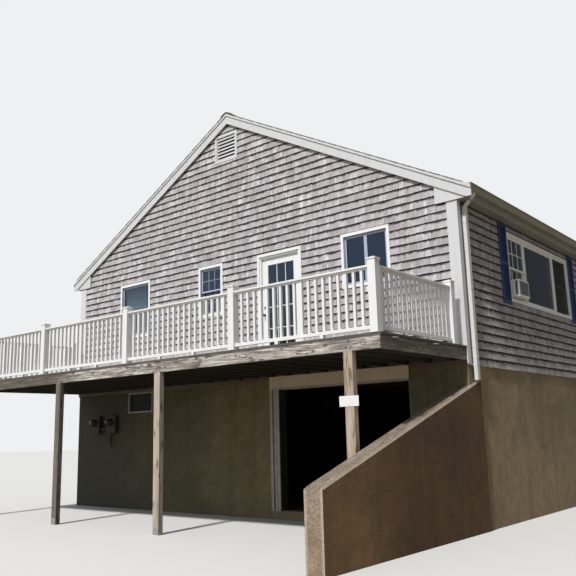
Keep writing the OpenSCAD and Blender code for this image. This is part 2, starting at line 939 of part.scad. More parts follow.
// Room air conditioner standing in the lower front sash of the first wide window
module air_conditioner() {
    slot_n = 9;
    slot_h = 12;
    rim = 0.09 * cooler_w;
    light = glass_in(lower_half(wide_lights(side_front_hole)[0]));
    low = light[1];
    left = light[0] - light[2] / 2 + 10;
    step = (cooler_h - 2 * rim) / slot_n;
    color(white_c) site() on_right_wall() difference() {
        block([left, -cooler_out, low], [left + cooler_w, inner_sash_y, low + cooler_h]);
        translate([0, -cooler_out - 1, 0]) upright(slot_h) for (i = [0:1:slot_n - 1])
            translate([left + rim, low + rim + i * step]) square([cooler_w - 2 * rim, step / 2]);
    }
}

// Two round electric meters on the foundation: a pipe joins their boxes and a conduit runs down
// from the second one
module electric_meters() {
    box_w = 300;
    box_h = 380;
    box_d = 110;
    hub_x = 70;
    link_z = 90;
    low = deck_z - meter_drop;
    pipe_r = 24;
    ring_r = 88;
    ring_out = 50;
    dome_r = 76;
    dome_out = 95;
    xs = [-half_w + meter_1, -half_w + meter_2];
    color(steel_c) site() union() {
        for (x = xs) {
            block([x - box_w / 2, -box_d, low], [x + box_w / 2, 0, low + box_h]);
            translate([x, -box_d + 1, low + box_h * 0.62]) rotate([90, 0, 0]) {
                cylinder(h = ring_out, r = ring_r, $fn = 48);
                cylinder(h = dome_out, r = dome_r, $fn = 48);
            }
        }
        translate([xs[0], -box_d / 2, low + link_z]) rotate([0, 90, 0])
            cylinder(h = xs[1] - xs[0], r = pipe_r, $fn = 24);
        translate([xs[1] - hub_x, -box_d / 2, low - conduit_l])
            cylinder(h = conduit_l + 1, r = pipe_r, $fn = 24);
    }
}

// Deck

module deck_boards() {
    step = board_w + board_gap;
    count = floor((deck_d + nosing - trim_t + board_gap) / step);
    first = -trim_t + board_gap - count * step;
    color(grey_timber_c) site() for (i = [0:1:count - 1])
        block([-half_w - nosing, first + i * step, joist_top],
            [half_w + nosing, first + i * step + board_w, deck_z]);
}

module deck_joists() {
    count = ceil((house_w - 2 * joist_t) / joist_step) - 1;
    color(timber_c) site() for (i = [1:1:count])
        block([-half_w + i * joist_step, -deck_d + 2 * joist_t, joist_z],
            [-half_w + i * joist_step + joist_t, -joist_t, joist_top]);
}

module deck_rim() {
    color(grey_timber_c) site() difference() {
        block([-half_w, -deck_d, joist_z], [half_w, 0, joist_top]);
        block([-half_w + joist_t, -deck_d + 2 * joist_t, joist_z - 1],
            [half_w - joist_t, -joist_t, joist_top + 1]);
    }
}

module deck_posts() {
    color(timber_c) site() for (x = deck_post_xs)
        block([x - post_w / 2, -deck_d, 0], [x + post_w / 2, -deck_d + post_d, joist_z]);
}

// Railing

module rail_post(x, y) {
    w = rail_post_w / 2;
    top = deck_z + rail_h + rail_post_up;
    cap = w + cap_out;
    union() {
        block([x - w, y - w, deck_z], [x + w, y + w, top]);
        block([x - cap, y - cap, top - 1], [x + cap, y + cap, top + cap_h / 2]);
        hull() {
            block([x - w, y - w, top + cap_h / 2 - 1], [x + w, y + w, top + cap_h / 2]);
            block([x - 10, y - 10, top + cap_h - 1], [x + 10, y + 10, top + cap_h]);
        }
    }
}

module rail_posts() {
    color(white_c) site() {
        for (x = rail_xs) rail_post(x, rail_y);
        for (x = [-rail_end_x, rail_end_x]) rail_post(x, rail_wall_y);
    }
}

// One straight railing panel along X from x0 to x1, on the line y = 0
module rail_panel(x0, x1) {
    length = x1 - x0;
    count = floor((length - baluster_w) / baluster_step);
    step = length / (count + 1);
    low = deck_z + low_rail_z;
    top = deck_z + rail_h;
    union() {
        block([x0, -top_rail_w / 2, top - top_rail_h / 2], [x1, top_rail_w / 2, top]);
        block([x0, -low_rail_w / 2, top - top_rail_h], [x1, low_rail_w / 2, top - top_rail_h / 2]);
        block([x0, -low_rail_w / 2, low], [x1, low_rail_w / 2, low + low_rail_h]);
        for (i = [1:1:count])
            block([x0 + i * step - baluster_w / 2, -baluster_w / 2, low + low_rail_h - 1],
                [x0 + i * step + baluster_w / 2, baluster_w / 2, top - top_rail_h + 1]);
        for (share = [1 / 3, 2 / 3]) let (x = x0 + length * share)
            block([x - foot_w / 2, -foot_w / 2, deck_z], [x + foot_w / 2, foot_w / 2, low + 1]);
    }
}

module railing_front() {
    half = rail_post_w / 2;
    color(white_c) site() translate([0, rail_y, 0])
        for (i = [0:1:len(rail_xs) - 2]) rail_panel(rail_xs[i + 1] + half, rail_xs[i] - half);
}

// Railing panel between the front corner post and the post at the wall
module railing_side(x) {
    half = rail_post_w / 2;
    translate([x, 0, 0]) rotate([0, 0, 90]) rail_panel(rail_y + half, rail_wall_y - half);
}

module railing_right() {
    color(white_c) site() railing_side(rail_end_x);
}

module railing_left() {
    color(white_c) site() railing_side(-rail_end_x);
}

garage_slab();
foundation_front_left();
foundation_front_right();
foundation_left();
foundation_right();
foundation_back();
garage_frame();
garage_header();
wing_wall();
main_floor();
front_wall();
back_wall();
left_wall();
right_wall();
roof_left();
roof_right();
ridge_cap();
rake_boards();
eave_boxes();
gutter_left();
gutter_right();
downspouts();
corner_boards();
gable_vents();
window_front_left();
window_front_middle();
window_front_right();
deck_door();
window_right_front();
window_right_rear();
windows_left();
windows_back();
basement_windows();
window_glass();
shutters();
air_conditioner();
electric_meters();
deck_boards();
deck_joists();
deck_rim();
deck_posts();
rail_posts();
railing_front();
railing_right();
railing_left();
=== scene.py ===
"""Looks of a beach house over a walk-out garage: wood shingles, white trim and railings,
a weathered deck and cast concrete, dressed around the packed frame of the house."""

import math
from collections import namedtuple

import bmesh
import bpy
import numpy as np
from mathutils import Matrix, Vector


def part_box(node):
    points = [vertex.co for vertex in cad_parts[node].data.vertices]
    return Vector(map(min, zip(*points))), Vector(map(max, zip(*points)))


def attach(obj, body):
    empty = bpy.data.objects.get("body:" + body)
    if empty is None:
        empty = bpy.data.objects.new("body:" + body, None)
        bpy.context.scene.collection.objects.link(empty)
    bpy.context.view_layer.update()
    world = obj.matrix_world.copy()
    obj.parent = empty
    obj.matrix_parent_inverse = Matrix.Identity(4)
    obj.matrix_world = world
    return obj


bl_info = {
    "name": "Beach House Finishes",
    "version": (1, 0, 0),
    "blender": (4, 5, 0),
    "location": "3D View > Sidebar > Beach House",
    "description": "Shingles, trim details, fittings and finishes for the beach house frame",
    "category": "Object",
}

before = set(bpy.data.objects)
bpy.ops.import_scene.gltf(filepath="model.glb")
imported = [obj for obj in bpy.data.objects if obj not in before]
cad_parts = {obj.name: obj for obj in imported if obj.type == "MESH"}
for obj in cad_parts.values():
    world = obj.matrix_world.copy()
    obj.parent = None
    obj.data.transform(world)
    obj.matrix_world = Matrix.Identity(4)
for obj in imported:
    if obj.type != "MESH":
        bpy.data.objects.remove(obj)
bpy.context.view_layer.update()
BODY = "root"


# Places measured from the frame. A box is a pair: its low corner and its high corner

def low_of(node):
    """Lowest corner of a CAD node."""
    return np.array(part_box(node)[0])


def high_of(node):
    """Highest corner of a CAD node."""
    return np.array(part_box(node)[1])


def solids_of(node):
    """The box of each separate solid in a CAD node: triangles that share a corner get the
    smallest label among them until nothing changes, and each label is one solid."""
    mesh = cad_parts[node].data
    points = np.empty(len(mesh.vertices) * 3, np.float32)
    mesh.vertices.foreach_get("co", points)
    corners = np.empty(len(mesh.loops), np.int32)
    mesh.loops.foreach_get("vertex_index", corners)
    places, same = np.unique(points.reshape(-1, 3).round(4), axis=0, return_inverse=True)
    triangles = same.ravel()[corners].reshape(-1, 3)
    label = np.arange(len(places))
    changed = True
    while changed:
        lowest = label[triangles].min(axis=1)
        after = label.copy()
        np.minimum.at(after, triangles.ravel(), np.repeat(lowest, 3))
        changed = bool((after != label).any())
        label = after
    groups = [places[label == one] for one in np.unique(label)]
    return [(group.min(axis=0), group.max(axis=0)) for group in groups]


def middle_x(box):
    """Middle of a box along X."""
    return (box[0][0] + box[1][0]) / 2


WALL_FRONT = low_of("front_wall")[1]
WALL_BACK = high_of("back_wall")[1]
HALF_WIDTH = high_of("front_wall")[0]
WALL_FOOT = low_of("right_wall")[2]
PEAK = high_of("front_wall")[2]
EAVE_X = high_of("roof_right")[0]
SOFFIT = low_of("roof_right")[2]
ROOF_EDGE = SOFFIT + high_of("roof_right")[2] - PEAK
SLOPE = (PEAK - SOFFIT) / EAVE_X
DECK_TOP = high_of("deck_boards")[2]
DECK_FRONT = low_of("deck_rim")[1]
POSTS = solids_of("deck_posts")
PANES = solids_of("window_glass")
WING_LOW, WING_HIGH = low_of("wing_wall"), high_of("wing_wall")


def panes_in(node, margin=0.001):
    """The panes that lie inside a window node's box."""
    low, high = low_of(node) - margin, high_of(node) + margin
    return [pane for pane in PANES if (pane[0] >= low).all() and (pane[1] <= high).all()]


# Sizes and colours that a user would change

def length(label, about, value):
    """A length property in metres."""
    return bpy.props.FloatProperty(name=label, description=about, default=value, min=0.0, unit="LENGTH")


def amount(label, about, value):
    """A plain number."""
    return bpy.props.FloatProperty(name=label, description=about, default=value)


def colour(label, about, value):
    """A colour property."""
    return bpy.props.FloatVectorProperty(
        name=label, description=about, default=value, size=3, min=0.0, max=1.0, subtype="COLOR"
    )


class ShingleSettings(bpy.types.PropertyGroup):
    """Wood shingles on the four walls."""

    exposure: length("Exposure", "Height of each course that shows", 0.140)
    butt: length("Butt", "Depth of a shingle's lower edge off the wall", 0.023)
    tip: length("Tip", "Depth of a shingle where the next course covers it", 0.005)
    least_width: length("Least width", "Width of the narrowest shingle", 0.075)
    most_width: length("Most width", "Width of the widest shingle", 0.200)
    gap: length("Gap", "Gap between neighbouring shingles", 0.003)
    # The shaded side colour is the sunny one painted darker, as painted shade on the side walls.
    sunny: colour("Sunny side", "Colour on the gable walls", (0.50, 0.475, 0.500))
    shaded: colour("Shaded side", "Colour on the side walls", (0.41, 0.395, 0.400))
    seed: bpy.props.IntProperty(name="Seed", description="Start of the random widths", default=7)


class RoofSettings(bpy.types.PropertyGroup):
    """Asphalt shingles, ridge caps and metal edges."""

    exposure: length("Exposure", "Height of each course that shows", 0.143)
    tab: length("Tab", "Width of one tab", 0.305)
    slot: length("Slot", "Gap between two tabs", 0.008)
    butt: length("Butt", "Depth of a tab's lower edge", 0.009)
    overhang: length("Overhang", "Reach past the roof's edges", 0.012)
    granules: colour("Granules", "Colour of the mineral face", (0.17, 0.165, 0.16))


class PaintSettings(bpy.types.PropertyGroup):
    """Colours of the painted, moulded, timber and cast pieces."""

    trim: colour("Trim", "White painted boards", (0.56, 0.57, 0.59))
    vinyl: colour("Vinyl", "White moulded railings and windows", (0.73, 0.74, 0.75))
    metal: colour("Metal", "White downspouts", (0.66, 0.66, 0.67))
    header: colour("Header", "Board over the garage doorway", (0.65, 0.55, 0.425))
    shutter: colour("Shutter", "Navy louvred shutters", (0.021, 0.050, 0.155))
    post: colour("Post", "Dry treated timber", (0.49, 0.41, 0.32))
    deck: colour("Deck", "Weathered deck timber", (0.36, 0.33, 0.30))
    concrete: colour("Concrete", "Cast foundation", (0.285, 0.232, 0.148))
    shaded: colour("Shaded concrete", "Foundation under the deck", (0.195, 0.167, 0.097))
    wing: colour("Wing wall", "Sides of the cast wing wall", (0.203, 0.121, 0.055))
    cap: colour("Wing cap", "Worn top and end of the wing wall", (0.340, 0.240, 0.147))


class DetailSettings(bpy.types.PropertyGroup):
    """Sizes of the small fittings."""

    bar: length("Window bar", "Width of a window bar", 0.016)
    blind: length("Blind slat", "Width of a vertical blind's slat", 0.089)
    screw: length("Screw head", "Radius of a deck screw's head", 0.0045)
    hanger: length("Hanger", "Sheet thickness of a joist hanger", 0.0025)
    sign_width: length("Sign width", "Width of the blank plate on the deck post", 0.300)
    sign_height: length("Sign height", "Height of the blank plate", 0.135)


class StageSettings(bpy.types.PropertyGroup):
    """Floor, lamps and camera."""

    floor: colour("Floor", "Pale floor", (0.56, 0.56, 0.55))
    ground: colour("Ground tone", "What the floor throws back onto the house", (0.22, 0.18, 0.13))
    sky: amount("Sky", "Strength of the sky's light", 0.34)
    sun: amount("Sun", "Strength of the key lamp", 4.2)
    fill: amount("Fill", "Strength of the soft fill", 0.5)
    lens: amount("Lens", "Focal length in mm", 44.83)


SETTINGS = {
    "house_shingles": ShingleSettings,
    "house_roof": RoofSettings,
    "house_paint": PaintSettings,
    "house_details": DetailSettings,
    "house_stage": StageSettings,
}


# Shapes: each is a pair, an array of points and a list of face arrays

BOX_CORNERS = np.array([[x, y, z] for x in (0, 1) for y in (0, 1) for z in (0, 1)])
BOX_FACES = np.array([
    [0, 1, 3, 2], [4, 6, 7, 5], [0, 4, 5, 1], [2, 3, 7, 6], [0, 2, 6, 4], [1, 5, 7, 3],
])


def joined(*shapes):
    """Several shapes as one: their points follow each other and their faces are renumbered."""
    starts = np.cumsum([0] + [len(points) for points, faces in shapes])
    faces = [part + start for shape, start in zip(shapes, starts) for part in shape[1]]
    return np.concatenate([points for points, faces in shapes]), faces


def copied(faces, count, size):
    """The faces of each copy of a shape, whose points follow those of the copy before."""
    starts = (np.arange(count) * size)[:, None, None]
    return [(part + starts).reshape(-1, part.shape[1]) for part in faces]


def repeated(shape, offsets):
    """A copy of one shape at each offset: the points plus the offset, all at once."""
    points, faces = shape
    offsets = np.asarray(offsets, float).reshape(-1, 1, 3)
    return (points + offsets).reshape(-1, 3), copied(faces, len(offsets), len(points))


def placed(shape, origin, across=(1, 0, 0), out=(0, -1, 0), up=(0, 0, 1)):
    """A shape drawn in flat coordinates (across, out, up), set on a wall or a slope: origin plus
    each coordinate times its own direction. Without directions it stands on a front face."""
    axes = np.array([across, out, up], float)
    return shape[0] @ axes + np.asarray(origin, float), shape[1]


def upright(shape, origin):
    """A turned shape with its axis straight up at a place."""
    return placed(shape, origin, (1, 0, 0), (0, 0, 1), (0, 1, 0))


def eased_faces():
    """Faces of a box with eased edges. Each corner has one point on each of its three sides:
    the sides, the strips along the twelve edges and the eight small corner triangles."""
    sides, strips = [], []
    for axis in range(3):
        first, second = [other for other in range(3) if other != axis]
        step, wide, deep = 4 >> axis, 4 >> first, 4 >> second
        for base in (0, step):
            ring = (base, base + wide, base + wide + deep, base + deep)
            sides.append([corner * 3 + axis for corner in ring])
        for corner in range(8):
            if not corner & step:
                near, far = corner * 3, (corner + step) * 3
                strips.append([near + first, far + first, far + second, near + second])
    return [np.array(sides + strips), np.arange(24).reshape(8, 3)]


EASED_FACES = eased_faces()


def blocks(boxes, ease=0.0):
    """The boxes as solids: low corner plus the size times each corner's noughts and ones. With
    an ease the edges are cut at 45 degrees: each corner's three points stay on one side of the
    box and move inwards by the ease along the two others."""
    lows, highs = np.moveaxis(np.asarray(boxes, float), 1, 0)[:, :, None, :]
    if not ease:
        points = lows + (highs - lows) * BOX_CORNERS
        return points.reshape(-1, 3), copied([BOX_FACES], len(lows), 8)
    corner = BOX_CORNERS[:, None, :]
    inwards = (1 - 2 * corner) * (1 - np.eye(3)) * ease
    points = lows[:, None] + (highs - lows)[:, None] * corner + inwards
    return points.reshape(-1, 3), copied(EASED_FACES, len(lows), 24)


def carried(stations):
    """A closed outline carried along a path: stations is an array (steps, points, 3) that holds
    the outline at each step. Quads join each step to the next and both ends are closed."""
    index = np.arange(stations.shape[0] * stations.shape[1]).reshape(stations.shape[:2])
    ahead = np.roll(index, -1, axis=1)
    quads = np.stack([index[:-1], ahead[:-1], ahead[1:], index[1:]], axis=-1).reshape(-1, 4)
    return stations.reshape(-1, 3), [quads, np.stack([index[0, ::-1], index[-1]])]


def prism(outline, start, end):
    """A flat outline in (out, up) carried straight across from start to end."""
    stations = np.empty((2, len(outline), 3))
    stations[:, :, 0] = [[start], [end]]
    stations[:, :, 1:] = outline
    return carried(stations)


def turned(profile, sides):
    """A profile of (radius, height) pairs turned about the out axis: the angle runs round and
    the height stands along out. The first and last rings are closed."""
    radius, height = np.asarray(profile, float).T[:, :, None]
    angle = np.arange(sides) * 2 * np.pi / sides
    return carried(np.stack([radius * np.cos(angle), height + 0 * angle, radius * np.sin(angle)], -1))


def sheet(across, levels, back, thick):
    """A thin bowed sheet between two levels, closed all round: its back stands out by back at
    each across value, and its front by thick more."""
    points = np.empty((2, len(across), 2, 3))
    points[..., 0] = across[:, None]
    points[..., 1] = np.stack([back, back + thick])[:, :, None]
    points[..., 2] = levels
    index = np.arange(4 * len(across)).reshape(2, -1, 2)
    quads = [np.stack([side[:-1, :-1], side[1:, :-1], side[1:, 1:], side[:-1, 1:]], -1) for side in index]
    for edge in (index[:, 0, :], index[:, -1, :], index[:, :, 0], index[:, :, -1]):
        quads.append(np.stack([edge[0, :-1], edge[0, 1:], edge[1, 1:], edge[1, :-1]], -1))
    return points.reshape(-1, 3), [np.concatenate([quad.reshape(-1, 4) for quad in quads])]


def wedges(cells, depths):
    """A closed wedge for each cell (low across, high across, low up, high up): its back lies on
    the wall at out 0, and its face leans from depths[:, 0] at the foot to depths[:, 1]."""
    points = np.empty((len(cells), 2, 2, 2, 3))
    points[..., 0] = cells[:, :2, None, None]
    points[..., 1] = depths[:, None, None, :] * np.array([[0], [1]])
    points[..., 2] = cells[:, None, None, 2:]
    return points.reshape(-1, 3), copied([BOX_FACES], len(cells), 8)


def make_piece(name, shape, coat, slot, smooth=None, **attributes):
    """Puts a shape into a mesh with outward faces, gives it its finish and fixes it to the
    house. Smooth is the angle over which an edge stays sharp."""
    points, faces = shape
    mesh = bpy.data.meshes.new(name)
    mesh.from_pydata(points.tolist(), [], [face for part in faces for face in part.tolist()])
    for key, values in attributes.items():
        made = mesh.attributes.new(key, "FLOAT", "POINT")
        made.data.foreach_set("value", np.asarray(values, np.float32))
    edit = bmesh.new()
    edit.from_mesh(mesh)
    bmesh.ops.recalc_face_normals(edit, faces=edit.faces)
    edit.to_mesh(mesh)
    edit.free()
    if smooth is not None:
        mesh.polygons.foreach_set("use_smooth", [True] * len(mesh.polygons))
        mesh.set_sharp_from_angle(angle=math.radians(smooth))
    mesh.materials.append(finished(coat))
    piece = bpy.data.objects.new(name, mesh)
    bpy.context.scene.collection.objects.link(piece)
    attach(piece, BODY)


# Nodes

def tinted(base, factors):
    """A colour times one factor, or times one factor for each channel."""
    return tuple(np.multiply(base, factors))


def drawn(along, with_grain, beside):
    """A factor for each axis: one along the grain and another beside it."""
    return [with_grain if axis == along else beside for axis in "XYZ"]


class Nodes:
    """Adds shader nodes to one tree. From maths on, each method returns one output."""

    def __init__(self, tree):
        self.tree = tree

    def fill(self, socket, value):
        """Links an output to a socket, or makes anything else the socket's value."""
        if isinstance(value, bpy.types.NodeSocket):
            self.tree.links.new(value, socket)
        else:
            socket.default_value = (*value, 1.0) if socket.type == "RGBA" else value

    def add(self, kind, inputs=(), **settings):
        """Adds a node, sets its own settings, fills its inputs and returns its outputs."""
        made = self.tree.nodes.new(f"ShaderNode{kind}")
        for key, value in settings.items():
            setattr(made, key, value)
        for key, value in dict(inputs).items():
            self.fill(made.inputs[key], value)
        return made.outputs

    def group(self, name, inputs=()):
        """The outputs of a shared group, which is built on first use."""
        return self.add("Group", inputs, node_tree=bpy.data.node_groups.get(name) or make_group(name))

    def weather(self, scale):
        """The masks of the weather group."""
        return self.group("weather", {"Scale": scale})

    def maths(self, operation, *values):
        """A Math node."""
        return self.add("Math", dict(enumerate(values)), operation=operation)[0]

    def times(self, first, *others):
        """The product of all values."""
        for other in others:
            first = self.maths("MULTIPLY", first, other)
        return first

    def plus(self, first, second):
        """The sum of two values."""
        return self.maths("ADD", first, second)

    def off(self, value, middle=0.0):
        """How far a value lies from a middle."""
        return self.maths("ABSOLUTE", self.maths("SUBTRACT", value, middle))

    def most(self, first, second):
        """The larger of two values."""
        return self.maths("MAXIMUM", first, second)

    def ranged(self, value, low, high, to_low=0.0, to_high=1.0):
        """A value mapped smoothly from one range to another."""
        return self.add("MapRange", {
            "Value": value, "From Min": low, "From Max": high, "To Min": to_low, "To Max": to_high,
        }, interpolation_type="SMOOTHSTEP")["Result"]

    def blended(self, factor, first, second, mode="MIX"):
        """Two colours mixed by a factor."""
        return self.add("Mix", {0: factor, 6: first, 7: second}, data_type="RGBA", blend_type=mode)[2]

    def layered(self, shown, base, *layers):
        """Layers laid over the colour that shows. Each has a mask, its strength and the factors
        that make its colour from the base."""
        for mask, strength, factors in layers:
            shown = self.blended(self.times(mask, strength), shown, tinted(base, factors))
        return shown

    def points(self, scale=None):
        """Object coordinates, stretched along each axis where a scale is given."""
        place = self.add("TexCoord")["Object"]
        return place if scale is None else self.add("Mapping", {"Vector": place, "Scale": scale})[0]

    def place(self, axis):
        """Object coordinate along one axis."""
        return self.add("SeparateXYZ", {0: self.points()})[axis]

    def facing(self, axis):
        """How far a face looks along one axis, from -1 to 1."""
        return self.add("SeparateXYZ", {0: self.add("NewGeometry")["True Normal"]})[axis]

    def attribute(self, name):
        """A mesh attribute's value."""
        return self.add("Attribute", attribute_name=name)["Fac"]

    def noise(self, where, detail=4.0, rough=0.55, scale=1.0):
        """Fractal noise over a vector, or over object coordinates stretched by three factors."""
        vector = where if isinstance(where, bpy.types.NodeSocket) else self.points(where)
        return self.add("TexNoise", {
            "Vector": vector, "Scale": scale, "Detail": detail, "Roughness": rough,
        })["Fac"]

    def random(self, value):
        """A random number for each value."""
        return self.add("TexWhiteNoise", {"W": value}, noise_dimensions="1D")["Value"]

    def bump(self, height, depth):
        """A normal that follows a height between 0 and a depth in metres."""
        return self.add("Bump", {"Height": height, "Distance": depth})["Normal"]


# Effects that several finishes share, each a group of masks

def weather_masks(n, given):
    """Runs of dirt down a wall, large blotches, fine mottling and broad clouds."""
    scaled = n.add("VectorMath", {0: n.points(), 3: given["Scale"]}, operation="SCALE")[0]
    tall = n.add("Mapping", {"Vector": scaled, "Scale": (5.0, 5.0, 0.35)})[0]
    return {
        "Runs": n.ranged(n.noise(tall, 6.0, 0.6), 0.42, 0.72),
        "Blotch": n.ranged(n.noise(scaled, 5.0, 0.6, 0.8), 0.34, 0.68),
        "Mottle": n.ranged(n.noise(scaled, 6.0, 0.65, 14.0), 0.3, 0.7),
        "Cloud": n.ranged(n.noise(scaled, 8.0, 0.7, 2.4), 0.40, 0.60),
    }


def grain_masks(n, given):
    """Timber grain: noise drawn out along the board. Along X, Along Y and Along Z say how much
    of the pattern's fineness is left on each axis, and Board moves it from board to board."""
    run = n.add("CombineXYZ", {axis: given[f"Along {axis}"] for axis in "XYZ"})[0]
    stretched = n.add("VectorMath", {0: n.points(), 1: run}, operation="MULTIPLY")[0]
    shift = n.times(given["Board"], 7.31)
    moved = n.add("VectorMath", {0: stretched, 1: shift}, operation="ADD")[0]
    return {
        "Grain": n.ranged(n.noise(moved, 5.0, 0.6, 42.0), 0.28, 0.74),
        "Rays": n.ranged(n.noise(moved, 3.0, 0.5, 9.0), 0.3, 0.7),
        "Tone": n.random(given["Board"]),
    }


def formwork_masks(n, given):
    """Marks of the forms on cast concrete: an upright seam every Panel metres along the wall, a
    tie hole in the middle of each square panel and a tone for each strip of panels. Walls that
    look along X read Y instead."""
    sideways = n.maths("GREATER_THAN", n.off(n.facing("X")), 0.7)
    along = n.add("Mix", {0: sideways, 2: n.place("X"), 3: n.place("Y")})[0]
    cells = [n.maths("DIVIDE", place, given["Panel"]) for place in (along, n.place("Z"))]
    aside, above = [n.off(n.maths("FRACT", cell), 0.5) for cell in cells]
    square = n.plus(n.maths("POWER", aside, 2.0), n.maths("POWER", above, 2.0))
    return {
        "Seam": n.ranged(aside, 0.488, 0.499),
        "Tie": n.ranged(n.maths("POWER", square, 0.5), 0.022, 0.012),
        "Band": n.random(n.maths("FLOOR", cells[0])),
    }


def granule_masks(n, given):
    """Mineral granules: small cells of random brightness."""
    cells = n.add("TexVoronoi", {"Vector": n.points(), "Scale": given["Fineness"]})
    return {"Speckle": n.add("SeparateColor", {0: cells["Color"]})[0]}


GROUPS = {
    "weather": (weather_masks, {"Scale": 1.0}),
    "timber grain": (grain_masks, {"Along X": 1.0, "Along Y": 1.0, "Along Z": 1.0, "Board": 0.0}),
    "formwork": (formwork_masks, {"Panel": 0.61}),
    "granules": (granule_masks, {"Fineness": 420.0}),
}


def make_group(name):
    """Builds a shared group: named inputs with their defaults, and an output for each mask."""
    build, defaults = GROUPS[name]
    tree = bpy.data.node_groups.new(name, "ShaderNodeTree")
    for label, value in defaults.items():
        made = tree.interface.new_socket(name=label, in_out="INPUT", socket_type="NodeSocketFloat")
        made.default_value = value
    masks = build(Nodes(tree), tree.nodes.new("NodeGroupInput").outputs)
    for label in masks:
        tree.interface.new_socket(name=label, in_out="OUTPUT", socket_type="NodeSocketFloat")
    put = tree.nodes.new("NodeGroupOutput").inputs
    for label, value in masks.items():
        tree.links.new(value, put[label])
    return tree


# Finishes. A recipe gets a material's nodes and returns what its shader's sockets take

# Colours of painted shade: nearly black in the garage doorway, behind the deck rim and inside the garage,
# and a darkening of the wing wall towards the house
DOORWAY_PAINTED_SHADE = (0.02, 0.02, 0.02)
UNDER_DECK_PAINTED_SHADE = (0.05, 0.049, 0.046)
GARAGE_PAINTED_SHADE = (0.012, 0.012, 0.013)
WING_PAINTED_SHADE = (0.4872, 0.4598, 0.418)
FINISHES = {}


def finish(name, recipe, *given, **more):
    """A material whose shader gets what a recipe returns, kept under its name."""
    made = bpy.data.materials.new(name)
    made.use_nodes = True
    n = Nodes(made.node_tree)
    shader = made.node_tree.nodes["Principled BSDF"].inputs
    for key, value in recipe(n, *given, **more).items():
        n.fill(shader[key.replace("_", " ")], value)
    FINISHES[name] = made
    return made


def finished(name):
    """A finish by name, all made when the first one is asked for."""
    if name not in FINISHES:
        make_finishes()
    return FINISHES[name]


def plain(n, colour, rough, **sockets):
    """The same all over."""
    return dict(Base_Color=colour, Roughness=rough, **sockets)


def shingles(n, base):
    """Weathered wood shingle: its own tone, upright grain, pale and brown streaks that run over
    several courses, a dark band of uneven width under the next butt, partly dirt and partly
    painted shadow of the butt, and a pale worn foot."""
    tones = ((0.0, 0.66), (0.25, 0.84), (0.6, 1.0), (0.85, 1.12), (1.0, 1.30))
    tone, up = n.attribute("tone"), n.attribute("up")
    ramp = n.tree.nodes.new("ShaderNodeValToRGB")
    n.fill(ramp.inputs[0], tone)
    elements = ramp.color_ramp.elements
    while len(elements) < len(tones):
        elements.new(0.5)
    for element, (place, factor) in zip(elements, tones):
        element.position = place
        element.color = (*tinted(base, factor), 1.0)
    board = n.times(tone, 90.0)
    grain, relief = [
        n.group("timber grain", {"Along Z": along, "Board": board})["Grain"] for along in (0.06, 0.05)
    ]
    tall = n.noise((11, 11, 2.2), 5.0, 0.7)
    uneven = n.maths("SUBTRACT", n.noise((9, 9, 5), 4.0, 0.7), 0.5)
    shown = n.layered(ramp.outputs[0], base,
        (grain, 0.55, 0.45),
        (n.weather(2.2)["Cloud"], 0.45, 0.66),
        (n.ranged(tall, 0.52, 0.68), 0.75, (1.50, 1.52, 1.55)),
        (n.ranged(tall, 0.46, 0.34), 0.55, 0.55),
        (n.weather(1.0)["Runs"], 0.30, (0.56, 0.48, 0.42)),
        # dark band under the next butt: dirt and painted shadow of the butt
        (n.ranged(n.plus(up, n.times(uneven, 0.7)), 0.60, 0.84), 0.95, 0.05),
        (n.ranged(up, 0.10, 0.0), 0.35, 1.45))
    return dict(Base_Color=shown, Roughness=0.88, Normal=n.bump(relief, 0.006))


def timber(n, base, along, across=None, pitch=1.0, wear=0.5, dark=0.4, worn=1.35, knots=0.0, edges=0.0):
    """Bare timber with grain along one axis: boards differ in tone where a pitch across them is
    given, with dark checks, silvered wear, stains, knots and painted shade on standing faces."""
    board = n.maths("FLOOR", n.maths("DIVIDE", n.place(across), pitch)) if across else 0.0
    run = dict(zip(("Along X", "Along Y", "Along Z"), drawn(along, 0.05, 1.0)))
    fibres = n.group("timber grain", {**run, "Board": board})
    shown = n.layered(base, base,
        (fibres["Tone"], 0.5, 0.62),
        (fibres["Grain"], 0.55, dark),
        (fibres["Rays"], wear, worn),
        (n.weather(1.6)["Blotch"], 0.45, 0.45),
        (n.most(knot_mask(n, along), check_mask(n, along)), knots, (0.30, 0.21, 0.15)),
        # painted shade on the standing faces, in the gaps and at the ends of the boards
        (n.ranged(n.facing("Z"), 0.7, 0.3), edges, 0.16))
    return dict(Base_Color=shown, Roughness=0.82, Normal=n.bump(fibres["Grain"], 0.004))


def knot_mask(n, along):
    """Knots: small dark spots at scattered places, drawn out a little along the grain."""
    spots = n.add("TexVoronoi", {"Vector": n.points(drawn(along, 2.2, 8.0)), "Scale": 1.0})
    return n.ranged(spots["Distance"], 0.24, 0.10)


def check_mask(n, along):
    """Drying checks: thin dark lines along the grain, where drawn-out noise is near its middle,
    in some stretches only."""
    lines = n.noise(drawn(along, 0.9, 15.0), 3.0, 0.5)
    where = n.noise(drawn(along, 1.3, 6.0), 2.0, 0.5)
    return n.times(n.ranged(n.off(lines, 0.5), 0.030, 0.008), n.ranged(where, 0.44, 0.56))


def post_timber(n, base):
    """Dry timber, with painted shade on the two deck posts on the left, which are dim and grey,
    and the third painted paler."""
    sockets = timber(n, base, "Z", "X", 1.7, 0.45, 0.20, 1.3, knots=0.9)
    aside = n.place("X")
    places = sorted(middle_x(post) for post in POSTS)
    first, second = (places[1] + places[2]) / 2, (places[2] + places[3]) / 2
    left = n.ranged(aside, first, first - 0.1)
    third = n.times(n.ranged(aside, first, first + 0.1), n.ranged(aside, second, second - 0.1))
    # painted shade on the two left posts
    toned = n.blended(left, sockets["Base_Color"], (0.36, 0.38, 0.42), "MULTIPLY")
    return {**sockets, "Base_Color": n.blended(third, toned, (0.98, 1.02, 1.10), "MULTIPLY")}


